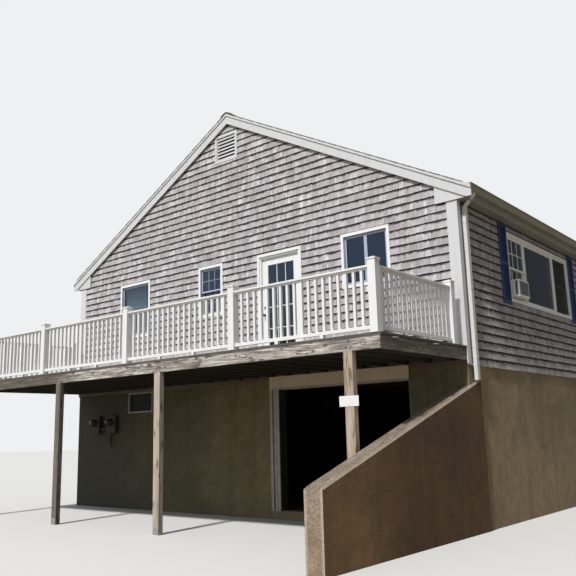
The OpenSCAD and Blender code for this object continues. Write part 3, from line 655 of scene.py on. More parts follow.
def rim_timber(n, base):
    """Weathered rim board: silvered grain along the deck with pale and brown stretches, small
    water stains and knots, with painted shade on the left end and on the right side, and a painted
    shadow of the boards' nosing along the upper edge. What lies behind it under the deck gets
    nearly black painted shade."""
    foot, top = low_of("deck_rim")[2], high_of("deck_rim")[2]
    outer = high_of("deck_rim")[0]
    big_knot = (outer - 0.26, DECK_FRONT, foot + 0.55 * (top - foot))
    aside = n.place("X")
    height = n.add("MapRange", {"Value": n.place("Z"), "From Min": foot, "From Max": top})["Result"]
    grain = n.group("timber grain", {"Along X": 0.05, "Along Y": 0.05})["Grain"]
    strips = n.noise((2.2, 2.2, 42), 8.0, 0.72)
    pale = n.noise((1.1, 1.1, 7), 4.0, 0.6)
    brown = n.noise((0.9, 0.9, 3), 2.0, 0.5)
    stain = n.plus(n.noise((4.5, 4.5, 17), 5.0, 0.65), n.times(height, 0.06))
    away = n.add("VectorMath", {0: n.points(), 1: big_knot}, operation="DISTANCE")["Value"]
    swirl = n.plus(away, n.times(n.noise((16, 16, 30), 4.0, 0.6), 0.07))
    ring = n.most(n.ranged(n.off(swirl, 0.072), 0.014, 0.002), n.ranged(swirl, 0.052, 0.044))
    shown = n.layered(base, base,
        (n.ranged(brown, 0.45, 0.62), 0.35, (0.80, 0.68, 0.55)),
        (n.ranged(pale, 0.42, 0.58), 0.75, (1.85, 1.90, 1.95)),
        (n.ranged(strips, 0.49, 0.58), 0.80, 0.26),
        (n.ranged(strips, 0.47, 0.38), 0.75, 2.35),
        (grain, 0.62, 0.24),
        (n.ranged(stain, 0.585, 0.65), 0.90, (0.15, 0.14, 0.13)),
        (knot_mask(n, "X"), 0.70, 0.15),
        (ring, 0.60, 0.15),
        # painted shade on the left end
        (n.ranged(aside, -0.24 * HALF_WIDTH, -0.48 * HALF_WIDTH), 0.84, (0.17, 0.145, 0.11)),
        # painted shadow of the boards' nosing along the upper edge
        (n.ranged(height, 0.84, 0.93), 0.85, 0.10),
        # painted shade on the right side
        (n.ranged(n.facing("X"), 0.3, 0.7), 0.72, (0.22, 0.23, 0.18)))
    # painted shade, nearly black, on what lies behind the rim under the deck
    under = n.times(n.ranged(n.place("Y"), DECK_FRONT + 0.030, DECK_FRONT + 0.045),
        n.ranged(n.off(aside), outer - 0.030, outer - 0.045), 0.92)
    return dict(Base_Color=n.blended(under, shown, UNDER_DECK_PAINTED_SHADE), Roughness=0.85,
        Normal=n.bump(grain, 0.005))


def painted(n, base, dirt, rough, green=0.0, gloss=0.5):
    """Paint or moulded vinyl: faint grime in runs and blotches, and a little green growth."""
    weather = n.weather(1.8)
    shown = n.layered(base, base,
        (weather["Runs"], dirt, (0.62, 0.60, 0.54)),
        (weather["Blotch"], dirt * 0.6, (0.72, 0.72, 0.66)),
        (weather["Mottle"], green, (0.55, 0.60, 0.42)))
    dull = n.ranged(n.weather(3.0)["Mottle"], 0.0, 1.0, rough - 0.08, rough + 0.14)
    return dict(Base_Color=shown, Roughness=dull, Specular_IOR_Level=gloss,
        Normal=n.bump(n.weather(6.0)["Mottle"], 0.00015))


def parted(n, base, rough, grime, part, other):
    """Paint worn by one layer of grime, with another colour where the part's mask is one."""
    return dict(Base_Color=n.blended(part, n.layered(base, base, grime), other), Roughness=rough)


def set_back_vinyl(n, base):
    """Vinyl of the front windows: white on the casing, and painted shade on the sash behind it:
    dim and bluish where it stands in the frame's shade, and nearly black on its edges."""
    # painted shade on the sash behind the casing
    behind = n.times(n.ranged(n.place("Y"), WALL_FRONT - 0.018, WALL_FRONT - 0.010), 0.95)
    dim = n.blended(n.ranged(n.facing("Y"), -0.5, -0.8), (0.055, 0.062, 0.080), (0.30, 0.36, 0.46))
    return parted(n, base, 0.38, (n.weather(1.8)["Runs"], 0.14, 0.6), behind, dim)


def corner_paint(n, base):
    """Trim paint of the corner boards, with a painted shadow line up the side where it ends by the spout.
    """
    spout, depth = low_of("downspouts")[1], n.place("Y")
    outside = n.ranged(n.off(n.place("X")), HALF_WIDTH + 0.012, HALF_WIDTH + 0.018)
    beside = n.ranged(depth, spout - 0.062, spout - 0.056)
    # painted shadow in the gap between the board and the spout
    line = n.times(outside, beside, n.ranged(depth, spout + 0.10, spout + 0.05), 0.95)
    return parted(n, base, 0.5, (n.weather(1.8)["Runs"], 0.20, 0.6), line, (0.018, 0.017, 0.018))


def eave_paint(n, base):
    """White boards under the eaves with blotches of grime: clean where they look to the front or
    back, and greyed by painted shade along the sides and underneath."""
    # painted shade on the sides and underneath
    sides = n.times(n.ranged(n.off(n.facing("Y")), 0.7, 0.3), 0.8)
    grey = tinted(base, (0.36, 0.34, 0.26))
    return parted(n, base, 0.5, (n.weather(1.8)["Blotch"], 0.25, 0.7), sides, grey)


def casing_paint(n, base):
    """Old paint on the garage doorway's casing, with nearly black painted shade where it turns into the
    doorway.
    """
    # painted shade inside the doorway
    inside = n.times(n.ranged(n.place("Y"), WALL_FRONT - 0.012, WALL_FRONT + 0.006), 0.94)
    return parted(n, base, 0.6, (n.weather(2.4)["Cloud"], 0.45, 0.5), inside, DOORWAY_PAINTED_SHADE)


def concrete(n, base, seams=1.0, cap=None, damp=0.0):
    """Cast concrete: form panels of slightly different tone with seams and tie holes, clouds and
    runs of water stains, and painted shade all over towards the left. With a cap colour, the
    sides get painted shade towards the house, and the tops and the free end are rough and pale.
    Without one, the faces inside the garage get nearly black painted shade."""
    aside, depth = n.place("X"), n.place("Y")
    broad, forms = n.weather(0.8), n.group("formwork")
    marks = n.most(forms["Seam"], forms["Tie"])
    large = n.noise((0.55, 0.55, 0.8), 3.0, 0.5)
    drips = n.noise((9, 9, 0.5), 4.0, 0.6)
    shown = n.layered(base, base,
        (forms["Band"], 0.30, 0.66),
        (n.ranged(large, 0.42, 0.58), 0.55, (1.50, 1.38, 1.15)),
        (n.ranged(large, 0.50, 0.36), 0.45, (0.55, 0.58, 0.50)),
        (broad["Cloud"], 0.35, (1.45, 1.38, 1.30)),
        (n.weather(2.6)["Cloud"], 0.36, 0.50),
        (n.weather(6.0)["Mottle"], 0.22, 0.50),
        (broad["Runs"], 0.32, (0.46, 0.44, 0.38)),
        (n.ranged(drips, 0.66, 0.78), 0.35, (1.7, 1.65, 1.6)),
        # painted shade towards the left
        (n.ranged(aside, 0.10 * HALF_WIDTH, -0.90 * HALF_WIDTH), damp, (0.20, 0.24, 0.32)),
        (marks, 0.5 * seams, 0.35))
    if cap is None:
        # nearly black painted shade on the faces inside the garage
        inside = n.times(
            n.ranged(n.off(aside), HALF_WIDTH - 0.06, HALF_WIDTH - 0.12),
            n.ranged(depth, WALL_FRONT + 0.10, WALL_FRONT + 0.16),
            n.ranged(depth, WALL_BACK - 0.06, WALL_BACK - 0.12), 0.93)
        shown = n.blended(inside, shown, GARAGE_PAINTED_SHADE)
    else:
        # painted shade on the sides towards the house
        near = n.ranged(depth, WING_LOW[1] + 0.6, WING_LOW[1] + 2.0)
        toned = n.blended(near, shown, WING_PAINTED_SHADE, "MULTIPLY")
        top = n.ranged(n.facing("Z"), 0.4, 0.8)
        end = n.times(n.ranged(n.facing("Y"), -0.5, -0.8), 0.9)
        shown = n.blended(n.most(top, end), toned, rough_cap(n, cap, top))
    stones = n.group("granules", {"Fineness": 105.0})["Speckle"]
    mottled = n.plus(n.times(n.weather(4.0)["Mottle"], 0.6), n.weather(1.3)["Mottle"])
    pebbled = n.plus(mottled, n.times(stones, 0.5))
    relief = n.maths("SUBTRACT", pebbled, n.times(marks, seams))
    return dict(Base_Color=shown, Roughness=0.9, Normal=n.bump(relief, 0.006))


def rough_cap(n, cap, top):
    """Worn top and end of a cast wall: pale and grey patches, streaks along it, stones and sand,
    paler along both edges, and darker with painted shade where the top mask is one."""
    stones, gravel = [n.group("granules", {"Fineness": size})["Speckle"] for size in (105.0, 48.0)]
    broken = n.ranged(n.noise((24, 10, 10), 5.0, 0.7), 0.51, 0.60)
    aside = n.off(n.place("X"), middle_x((WING_LOW, WING_HIGH)))
    half = (WING_HIGH[0] - WING_LOW[0]) / 2
    return n.layered(cap, cap,
        (n.ranged(n.noise((2.5, 1.4, 2.5), 5.0, 0.65), 0.40, 0.60), 0.80, (1.35, 1.68, 2.25)),
        (n.ranged(n.noise((30, 3, 9), 5.0, 0.7), 0.35, 0.65), 0.55, 0.45),
        (stones, 0.30, (1.9, 2.2, 2.9)),
        (gravel, 0.25, 0.40),
        (n.times(top, broken), 0.75, 0.20),
        (n.weather(2.6)["Cloud"], 0.50, (0.55, 0.66, 0.80)),
        (n.ranged(aside, 0.62 * half, 0.92 * half), 0.60, (1.90, 2.3, 3.1)),
        # painted shade on the top
        (top, 0.32, 0.0))


def roofing(n, base):
    """Asphalt shingle: speckled granules, each tab its own tone, streaks of algae and a painted
    shadow band where the next course covers it and just below its butt."""
    speckle = n.group("granules")["Speckle"]
    toned = n.blended(n.attribute("tone"), tinted(base, 0.72), tinted(base, 1.28))
    shown = n.layered(toned, base,
        (speckle, 0.45, 1.9),
        (n.weather(1.0)["Blotch"], 0.4, 0.55),
        # painted shadow below the next course's butt
        (n.ranged(n.attribute("up"), 0.8, 1.0), 0.6, 0.25))
    return dict(Base_Color=shown, Roughness=0.93, Normal=n.bump(speckle, 0.0012))


def pane_glass(n):
    """Window glass with a faint green tint, painted dark and nearly opaque below the main floor, as
    painted shade.
    """
    # painted shade on the basement panes
    below = n.ranged(n.place("Z"), WALL_FOOT, WALL_FOOT - 0.1)
    return dict(Base_Color=n.blended(below, (0.52, 0.60, 0.62), (0.06, 0.065, 0.06)), Roughness=0.02,
        IOR=1.5, Transmission_Weight=1.0, Specular_IOR_Level=0.5, Specular_Tint=(0.46, 0.66, 1.0))


def steel(n, base, rough):
    """Galvanised or plated steel with a cloudy surface."""
    shown = n.layered(base, base, (n.weather(9.0)["Mottle"], 0.45, 0.6))
    return dict(Base_Color=shown, Roughness=rough, Metallic=0.85)


def blind_cloth(n, base):
    """Woven blind slats: fine upright threads, with painted shade towards the top of the window."""
    top = panes_in("window_front_left")[0][1][2]
    shown = n.layered(base, base,
        (n.noise((160, 160, 8)), 0.35, 0.7),
        # painted shade towards the top of the window
        (n.ranged(n.place("Z"), top - 0.55, top - 0.10), 0.62, 0.15))
    return dict(Base_Color=shown, Roughness=0.85, Normal=n.bump(n.noise((900, 900, 90)), 0.0004))


def make_finishes():
    """Every finish, from the settings."""
    scene = bpy.context.scene
    paint, walls = scene.house_paint, scene.house_shingles
    finish("gable shingles", shingles, walls.sunny)
    finish("side shingles", shingles, walls.shaded)
    finish("roof granules", roofing, scene.house_roof.granules)
    for name, *values in (
        ("trim paint", paint.trim, 0.20, 0.5),
        ("vinyl", paint.vinyl, 0.14, 0.38, 0.04),
        # side vinyl is the white vinyl painted lighter, as painted light against the side walls' shade
        ("side vinyl", (0.86, 0.87, 0.88), 0.14, 0.38, 0.04),
        ("shaded bars", (0.30, 0.37, 0.46), 0.14, 0.38),
        # dark grey of the basement window frames: grime and painted shade
        ("grimy vinyl", (0.28, 0.295, 0.26), 0.30, 0.5),
        # gutter enamel: dirty enamel, darkened further as painted shade
        ("gutter enamel", (0.27, 0.265, 0.215), 0.40, 0.35),
        ("spout enamel", paint.metal, 0.12, 0.35),
        ("header paint", paint.header, 0.25, 0.6),
        ("shutter paint", paint.shutter, 0.12, 0.42),
        ("appliance enamel", (0.78, 0.80, 0.83), 0.15, 0.4),
        ("cooler mesh", (0.17, 0.18, 0.195), 0.2, 0.6),
        # dial grey: painted shade on the meters
        ("dial", (0.34, 0.34, 0.32), 0.1, 0.5),
        ("sign plate", (0.72, 0.73, 0.74), 0.08, 0.35),
        # meter steel near black: painted shade on the meters
        ("meter steel", (0.060, 0.062, 0.050), 0.35, 0.6, 0.0, 0.15),
        # light shell grey: painted shade on the rim lights
        ("light shell", (0.30, 0.30, 0.28), 0.2, 0.6, 0.0, 0.2),
    ):
        finish(name, painted, *values)
    finish("set-back vinyl", set_back_vinyl, paint.vinyl)
    finish("corner paint", corner_paint, paint.trim)
    finish("eave paint", eave_paint, paint.trim)
    finish("garage casing", casing_paint, (0.40, 0.375, 0.345))
    finish("foundation", concrete, paint.concrete)
    # the front foundation's darker concrete is painted shade under the deck, with more painted shade
    # towards the left
    finish("front foundation", concrete, paint.shaded, damp=0.90)
    finish("wing concrete", concrete, paint.wing, 0.35, paint.cap)
    finish("sheathing", timber, (0.16, 0.13, 0.11), "X")
    finish("floor timber", timber, (0.30, 0.22, 0.15), "Y", "X", 0.12, 0.2)
    finish("deck boards", timber, paint.deck, "X", "Y", 0.144, 0.4, edges=0.85)
    # the joists' near-black colour is painted shade under the deck
    finish("deck joists", timber, (0.075, 0.074, 0.070), "Y", "X", 0.406, 0.2)
    finish("deck posts", post_timber, paint.post)
    finish("deck rim", rim_timber, tinted(paint.deck, 1.05))
    finish("glass", pane_glass)
    # dim grey meter glass: painted shade on the meters
    finish("meter glass", plain, (0.30, 0.32, 0.28), 0.35, IOR=1.5, Transmission_Weight=1.0,
        Specular_IOR_Level=0.15)
    finish("screen", plain, (0.02, 0.022, 0.022), 0.7, Alpha=0.62)
    finish("blind cloth", blind_cloth, (0.46, 0.60, 0.68))
    finish("galvanised", steel, (0.52, 0.53, 0.54), 0.42)
    finish("dark fittings", steel, (0.06, 0.055, 0.05), 0.4)


NODE_FINISHES = {
    "foundation": ("garage_slab", "foundation_left", "foundation_right", "foundation_back"),
    "front foundation": ("foundation_front_left", "foundation_front_right"),
    "wing concrete": ("wing_wall",),
    "trim paint": ("rake_boards", "gable_vents"),
    "corner paint": ("corner_boards",),
    "eave paint": ("eave_boxes",),
    "garage casing": ("garage_frame",),
    "header paint": ("garage_header",),
    "floor timber": ("main_floor",),
    "sheathing": ("front_wall", "back_wall", "left_wall", "right_wall"),
    "roof granules": ("roof_left", "roof_right", "ridge_cap"),
    "gutter enamel": ("gutter_left", "gutter_right"),
    "spout enamel": ("downspouts",),
    "vinyl": ("deck_door", "windows_back", "rail_posts", "railing_front", "railing_right",
        "railing_left"),
    "grimy vinyl": ("basement_windows",),
    "set-back vinyl": ("window_front_left", "window_front_middle", "window_front_right"),
    "side vinyl": ("window_right_front", "window_right_rear", "windows_left"),
    "glass": ("window_glass",),
    "shutter paint": ("shutters",),
    "appliance enamel": ("air_conditioner",),
    "meter steel": ("electric_meters",),
    "deck boards": ("deck_boards",),
    "deck joists": ("deck_joists",),
    "deck rim": ("deck_rim",),
    "deck posts": ("deck_posts",),
}


# Wall shingles

Wall = namedtuple("Wall", "origin across out span foot top breaks")
GABLE_TRIM = ("gable_vents", "corner_boards", "eave_boxes")
FRONT_HOLES = ("window_front_left", "window_front_middle", "window_front_right", "deck_door")
WALL_FACES = (
    ("front", 1, -1, FRONT_HOLES + GABLE_TRIM),
    ("back", 1, 1, ("windows_back", *GABLE_TRIM)),
    ("left", 0, -1, ("windows_left", "corner_boards")),
    ("right", 0, 1, ("window_right_front", "window_right_rear", "shutters", "corner_boards")),
)


def gable_top(across):
    """Underside of the roof over a gable wall: it falls from the peak to both sides."""
    return PEAK - SLOPE * np.abs(across)


def house_walls():
    """The four walls by name: where each stands, which way it runs and looks, its span, foot and
    top, and the rectangles (low across, high across, low up, high up) of what interrupts it."""
    eave = low_of("eave_boxes")[2]
    walls = {}
    for name, axis, side, nodes in WALL_FACES:
        run = 1 - axis
        face = (WALL_FRONT, WALL_BACK)[side > 0] if axis else HALF_WIDTH * side
        touching = [
            box for node in nodes for box in solids_of(node)
            if side * box[side > 0][axis] > side * face - 0.01
        ]
        walls[name] = Wall(
            origin=np.eye(3)[axis] * face, across=np.eye(3)[run], out=np.eye(3)[axis] * side,
            span=(-HALF_WIDTH, HALF_WIDTH) if axis else (WALL_FRONT, WALL_BACK),
            foot=high_of("deck_rim")[2] if name == "front" else WALL_FOOT - 0.02,
            top=gable_top if axis else lambda across: np.full_like(across, eave),
            breaks=[(low[run], high[run], low[2], high[2]) for low, high in touching],
        )
    return walls


def clear_cells(low, high, foot, top, breaks):
    """The rectangles of one course that the breaks leave free: the course is cut at every
    break's sides, and each stretch keeps what lies under and over the breaks there."""
    least = 0.004
    edges = sorted({low, high} | {edge for one in breaks for edge in one[:2] if low < edge < high})
    cells = []
    for start, end in zip(edges[:-1], edges[1:]):
        pieces = [(foot, top)]
        for one in breaks:
            if one[0] < (start + end) / 2 < one[1]:
                pieces = [
                    part for floor, roof in pieces
                    for part in ((floor, min(roof, one[2])), (max(floor, one[3]), roof))
                    if part[1] - part[0] > least
                ]
        cells += [(start, end, floor, roof) for floor, roof in pieces]
    return cells


def shingle_widths(span, settings, random):
    """Edges that divide a stretch into shingles of random width."""
    mean = (settings.least_width + settings.most_width) / 2
    count = max(1, int(round(span / mean)))
    widths = random.uniform(settings.least_width, settings.most_width, count)
    return np.concatenate([[0.0], np.cumsum(widths)]) * span / widths.sum()


def shingle_wall(name, wall, settings, random):
    """Courses of wedge-shaped shingles over one wall. A shingle's face leans from the butt's
    depth at its foot to the tip's depth at the foot of the course above. Butts hang a little
    unevenly, and under the gable's roof each shingle is cut where the roof covers it."""
    course, cover, roof_room, near = settings.exposure, 0.012, 0.14, 0.001
    sag, swell = (-0.004, 0.003), (-0.005, 0.004)
    cells, feet = [], []
    for foot in np.arange(wall.foot, float(np.max(wall.top(np.array([0.0])))), course):
        for start, end, low, high in clear_cells(*wall.span, foot, foot + course, wall.breaks):
            edges = start + shingle_widths(end - start, settings, random)
            lows = np.full(len(edges) - 1, low)
            lows += (low <= foot + near) * random.uniform(*sag, len(lows))
            tops = np.full(len(lows), high + (cover if high >= foot + course - near else 0.0))
            keep = wall.top((edges[:-1] + edges[1:]) / 2) > low
            cells.append(np.stack([edges[:-1], edges[1:], lows, tops], 1)[keep])
            feet.append(np.full(keep.sum(), foot))
    cells, feet = np.concatenate(cells), np.concatenate(feet)
    cells[:, 0] += settings.gap / 2
    cells[:, 1] -= settings.gap / 2
    up = (cells[:, 2:] - feet[:, None]) / course
    butt = settings.butt + random.uniform(*swell, len(cells))
    depths = butt[:, None] + (settings.tip - butt)[:, None] * np.clip(up, 0, 1.1)
    points, faces = wedges(cells, depths)
    points[:, 2] = np.minimum(points[:, 2], wall.top(points[:, 0]) + roof_room * (wall.out[1] != 0))
    shape = placed((points, faces), wall.origin, wall.across, wall.out)
    make_piece(name, shape, "side shingles" if wall.out[0] else "gable shingles", "wood_shingle",
        tone=np.repeat(random.beta(1.4, 1.4, len(cells)), 8),
        up=np.broadcast_to(up[:, None, None, :], (len(cells), 2, 2, 2)).reshape(-1))


class HOUSE_OT_wall_shingles(bpy.types.Operator):
    """Cover the four walls with courses of wood shingles, cut round the casings and trim"""

    bl_idname = "house.wall_shingles"
    bl_label = "Wall shingles"

    def execute(self, context):
        settings = context.scene.house_shingles
        random = np.random.default_rng(settings.seed)
        for side, wall in house_walls().items():
            shingle_wall(f"shingles_{side}", wall, settings, random)
        return {"FINISHED"}


# Roof covering

def roof_tabs(side, settings, random):
    """Courses of tabs up one slope, each a thin wedge, every other course moved by half a tab.
    Across runs along the ridge, up runs up the slope and out stands square to it."""
    low_y = low_of("rake_boards")[1] - settings.overhang
    high_y = high_of("rake_boards")[1] + settings.overhang
    steep = math.hypot(1, SLOPE)
    rise = np.array([-side, 0, SLOPE]) / steep
    out = np.array([side * SLOPE, 0, 1]) / steep
    reach = EAVE_X * steep
    least, lap, tip = 0.02, 0.01, 0.003
    cells = []
    for number, start in enumerate(np.arange(-settings.overhang, reach - least, settings.exposure)):
        edges = np.arange(low_y - (number % 2) * settings.tab / 2, high_y, settings.tab)
        left = np.maximum(edges + settings.slot / 2, low_y)
        right = np.minimum(edges + settings.tab - settings.slot / 2, high_y)
        top = min(start + settings.exposure + lap, reach)
        course = np.stack([left, right, np.full_like(left, start), np.full_like(left, top)], 1)
        cells.append(course[right - left > least])
    cells = np.concatenate(cells)
    depths = np.tile([settings.butt, tip], (len(cells), 1))
    shape = placed(wedges(cells, depths), (side * EAVE_X, 0, ROOF_EDGE), (0, 1, 0), out, rise)
    make_piece("roof_tabs_right" if side > 0 else "roof_tabs_left", shape, "roof granules",
        "roof_shingle", tone=np.repeat(random.uniform(0, 1, len(cells)), 8),
        up=np.tile([0.0, 1.0], len(cells) * 4))


def ridge_tabs(settings, random):
    """Caps bent over the ridge: across each cap the height falls with the roof on both sides of
    a rounded crown, and along the ridge it leans from its butt down to its tip."""
    half, crown, thick, tip = 0.155, 0.03, 0.005, 0.002
    low, high = low_of("ridge_cap"), high_of("ridge_cap")
    across = np.linspace(-half, half, 9)
    drop = SLOPE * (np.sqrt(across ** 2 + crown ** 2) - crown)
    long = settings.exposure + 0.02
    run = high[1] - low[1] + 2 * settings.overhang - long
    starts = low[1] - settings.overhang + np.linspace(0, run, int(run / settings.exposure) + 2)
    stations = np.empty((2, 2 * len(across), 3))
    stations[:, :, 0] = np.concatenate([across, across[::-1]])
    stations[:, :, 1] = [[0], [long]]
    stations[:, :, 2] = np.concatenate([-drop, -drop[::-1] - thick]) + [[settings.butt], [tip]]
    cap = carried(stations)
    offsets = np.stack([np.zeros_like(starts), starts, np.full_like(starts, high[2] + 0.001)], 1)
    make_piece("ridge_tabs", repeated(cap, offsets), "roof granules", "roof_shingle", 40,
        tone=np.repeat(random.uniform(0, 1, len(starts)), len(cap[0])),
        up=np.tile(np.repeat([0.0, 0.8], 2 * len(across)), len(starts)))


def drip_edges():
    """Folded metal under the roof's edge: an angle carried along each eave."""
    lip, drop, thick = 0.022, 0.035, 0.0015
    outline = [(0, 0.002), (lip, -0.010), (lip, -drop), (lip - thick, -drop),
        (lip - thick, -0.010 - thick), (0, 0.002 - thick)]
    edge = prism(outline, low_of("rake_boards")[1], high_of("rake_boards")[1])
    shapes = [
        placed(edge, (side * EAVE_X, 0, ROOF_EDGE), (0, 1, 0), (side, 0, 0)) for side in (-1, 1)
    ]
    make_piece("drip_edges", joined(*shapes), "gutter enamel", "white_metal")


class HOUSE_OT_roof_covering(bpy.types.Operator):
    """Cover both slopes with asphalt tabs, cap the ridge and fold metal over the eaves"""

    bl_idname = "house.roof_covering"
    bl_label = "Roof covering"

    def execute(self, context):
        settings = context.scene.house_roof
        random = np.random.default_rng(11)
        for side in (-1, 1):
            roof_tabs(side, settings, random)
        ridge_tabs(settings, random)
        drip_edges()
        return {"FINISHED"}


# Windows and door

def pane_bars(pane, rows, width, proud=0.007):
    """The bars that divide a pane into three columns and some rows, on both faces of the glass."""
    thin = int(np.argmin(pane[1] - pane[0]))
    bars = []
    for axis, count in ((1 - thin, 3), (2, rows)):
        for place in np.linspace(pane[0][axis], pane[1][axis], count + 1)[1:-1]:
            bar = np.array(pane)
            bar[:, axis] = place - width / 2, place + width / 2
            bar[:, thin] += -proud, proud
            bars.append(bar)
    return bars


class HOUSE_OT_window_bars(bpy.types.Operator):
    """Divide the panes of the small windows and the deck door with bars"""

    bl_idname = "house.window_bars"
    bl_label = "Window bars"

    def execute(self, context):
        width = context.scene.house_details.bar
        wide = "window_right_front"
        flank_end = (low_of(wide)[1] + high_of(wide)[1]) / 2 - 0.5
        flank = [pane for pane in panes_in(wide) if pane[1][1] < flank_end]
        for name, panes, rows, share, coat in (
            ("bars_front", panes_in("window_front_middle"), 2, 0.75, "shaded bars"),
            ("bars_door", panes_in("deck_door"), 4, 1.0, "vinyl"),
            ("bars_side", flank, 2, 1.0, "side vinyl"),
            ("bars_left", panes_in("windows_left"), 2, 1.0, "side vinyl"),
            ("bars_back", panes_in("windows_back"), 2, 1.0, "vinyl"),
        ):
            bars = [bar for pane in panes for bar in pane_bars(pane, rows, width * share)]
            make_piece(name, blocks(bars, 0.003), coat, "white_vinyl")
        return {"FINISHED"}


class HOUSE_OT_blinds(bpy.types.Operator):
    """Hang vertical slats behind the left front window"""

    bl_idname = "house.blinds"
    bl_label = "Blinds"

    def execute(self, context):
        slat = context.scene.house_details.blind
        bow, twist, thick, lap = 0.006, 0.022, 0.0015, 0.8
        low, high = panes_in("window_front_left")[0]
        left, right, back, top = low[0] - 0.015, high[0] - 0.235, high[1] + 0.09, high[2] - 0.045
        across = np.linspace(-slat / 2, slat / 2, 7)
        share = across / (slat / 2)
        bowed = sheet(across, (low[2] - 0.03, top), bow * (1 - share ** 2) + twist * share, thick)
        count = int((high[0] - low[0] - 0.22) / (slat * lap)) + 1
        slats = repeated(bowed, [(place, back, 0) for place in np.linspace(left, right, count)])
        head = ((left - 0.05, back - 0.03, top), (right + 0.05, back + 0.03, top + 0.04))
        make_piece("blind_slats", joined(slats, blocks([head], 0.004)), "blind cloth", "white_vinyl", 40)
        return {"FINISHED"}


class HOUSE_OT_window_screens(bpy.types.Operator):
    """Fit an insect screen over the rear light of each wide side window and the basement panes"""

    bl_idname = "house.window_screens"
    bl_label = "Window screens"

    def execute(self, context):
        thick, nets = 0.002, []
        for node in ("window_right_front", "window_right_rear"):
            panes = np.array(panes_in(node))
            rear = panes[panes[:, 1, 1] > panes[:, 1, 1].max() - 0.01]
            low, high = rear[:, 0].min(axis=0) - 0.01, rear[:, 1].max(axis=0) + 0.01
            face = high[0] + 0.006
            nets.append(((face, low[1], low[2]), (face + thick, high[1], high[2])))
        centre = (0, (WALL_FRONT + WALL_BACK) / 2)
        for low, high in PANES:
            if high[2] > WALL_FOOT:
                continue
            thin = int(np.argmin(high - low))
            out = np.sign((low + high)[thin] / 2 - centre[thin])
            face = (high if out > 0 else low)[thin] + 0.009 * out
            net = np.array([low - 0.004, high + 0.004])
            net[:, thin] = face - thick / 2, face + thick / 2
            nets.append(net)
        make_piece("insect_screens", blocks(nets), "screen", "grey_steel")
        return {"FINISHED"}


KNOB = [(0.001, 0), (0.031, 0.0), (0.033, 0.004), (0.030, 0.008), (0.012, 0.011), (0.011, 0.028),
    (0.022, 0.036), (0.028, 0.048), (0.027, 0.058), (0.018, 0.066), (0.001, 0.068)]
LOCK = [(0.001, 0), (0.028, 0.0), (0.029, 0.010), (0.024, 0.016), (0.008, 0.017), (0.001, 0.019)]
HINGE = [(0.001, -0.05), (0.007, -0.048), (0.007, 0.048), (0.001, 0.05)]


class HOUSE_OT_door_fittings(bpy.types.Operator):
    """Add the deck door's knob, lock, hinges, kick panel and sill"""

    bl_idname = "house.door_fittings"
    bl_label = "Door fittings"

    def execute(self, context):
        low, high = low_of("deck_door"), high_of("deck_door")
        light_low, light_high = panes_in("deck_door")[0]
        leaf, latch_edge, hinge_edge = 0.0195, 0.075, 0.142
        face, foot = light_low[1] - leaf, low[2]
        turns = [
            placed(turned(profile, 20), (light_low[0] - latch_edge, face, foot + level))
            for profile, level in ((KNOB, 0.95), (LOCK, 1.10))
        ]
        make_piece("door_knob", joined(*turns), "dark fittings", "grey_steel", 35)
        hinges = [
            upright(turned(HINGE, 10), (light_high[0] + hinge_edge, face - 0.004, foot + level))
            for level in (0.25, 1.05, 1.85)
        ]
        make_piece("door_hinges", joined(*hinges), "dark fittings", "grey_steel", 35)
        panel = raised_panel((light_low[0] + 0.03, face - 0.006, foot + 0.075),
            (light_high[0] - 0.03, face, light_low[2] - 0.055), 0.022)
        make_piece("door_panel", panel, "vinyl", "white_vinyl")
        sill = prism([(0.0, 0.0), (0.055, -0.004), (0.055, -0.026), (0.0, -0.026)],
            low[0] + 0.065, high[0] - 0.065)
        make_piece("door_sill", placed(sill, (0, WALL_FRONT, foot + 0.028)), "galvanised", "grey_steel")
        return {"FINISHED"}


def raised_panel(low, high, band):
    """A moulded panel on a face that looks along -Y: frustum rings rise and fall between nested
    rectangles, each a share of the band further in and a share of the depth out."""
    rings = []
    for inwards, rise in ((0.0, 0.0), (0.15, 1.0), (0.55, 0.8), (1.0, 0.15), (1.6, 0.15), (2.4, 0.7)):
        x0, x1 = low[0] + inwards * band, high[0] - inwards * band
        z0, z1 = low[2] + inwards * band, high[2] - inwards * band
        y = high[1] + (low[1] - high[1]) * rise
        rings.append([(x0, y, z0), (x1, y, z0), (x1, y, z1), (x0, y, z1)])
    return carried(np.array(rings))


# Gutters and spouts

class HOUSE_OT_gutter_fittings(bpy.types.Operator):
    """Add hidden hangers across the gutters and straps on the downspouts"""

    bl_idname = "house.gutter_fittings"
    bl_label = "Gutter fittings"

    def execute(self, context):
        spacing, half, overlap = 0.6, 0.011, 0.003
        strips, straps = [], []
        for node in ("gutter_left", "gutter_right"):
            low, high = low_of(node), high_of(node)
            strips += [
                ((low[0] + 0.004, y - half, high[2] - 0.010), (high[0] - 0.005, y + half, high[2] - 0.007))
                for y in np.arange(low[1] + spacing / 2, high[1], spacing)
            ]
        make_piece("gutter_hangers", blocks(strips), "galvanised", "grey_steel")
        for low, high in solids_of("downspouts"):
            side = np.sign(low[0] + high[0])
            wall = min(abs(low[0]), abs(high[0])) - 0.002
            inner, outer = sorted((side * wall, side * (wall + 0.063)))
            straps += [
                ((inner, low[1] - overlap, level - 0.014), (outer, high[1] + overlap, level + 0.014))
                for level in np.linspace(low[2] + 0.35, high[2] - 0.45, 3)
            ]
        make_piece("spout_straps", blocks(straps, 0.002), "spout enamel", "white_metal")
        return {"FINISHED"}


# Deck

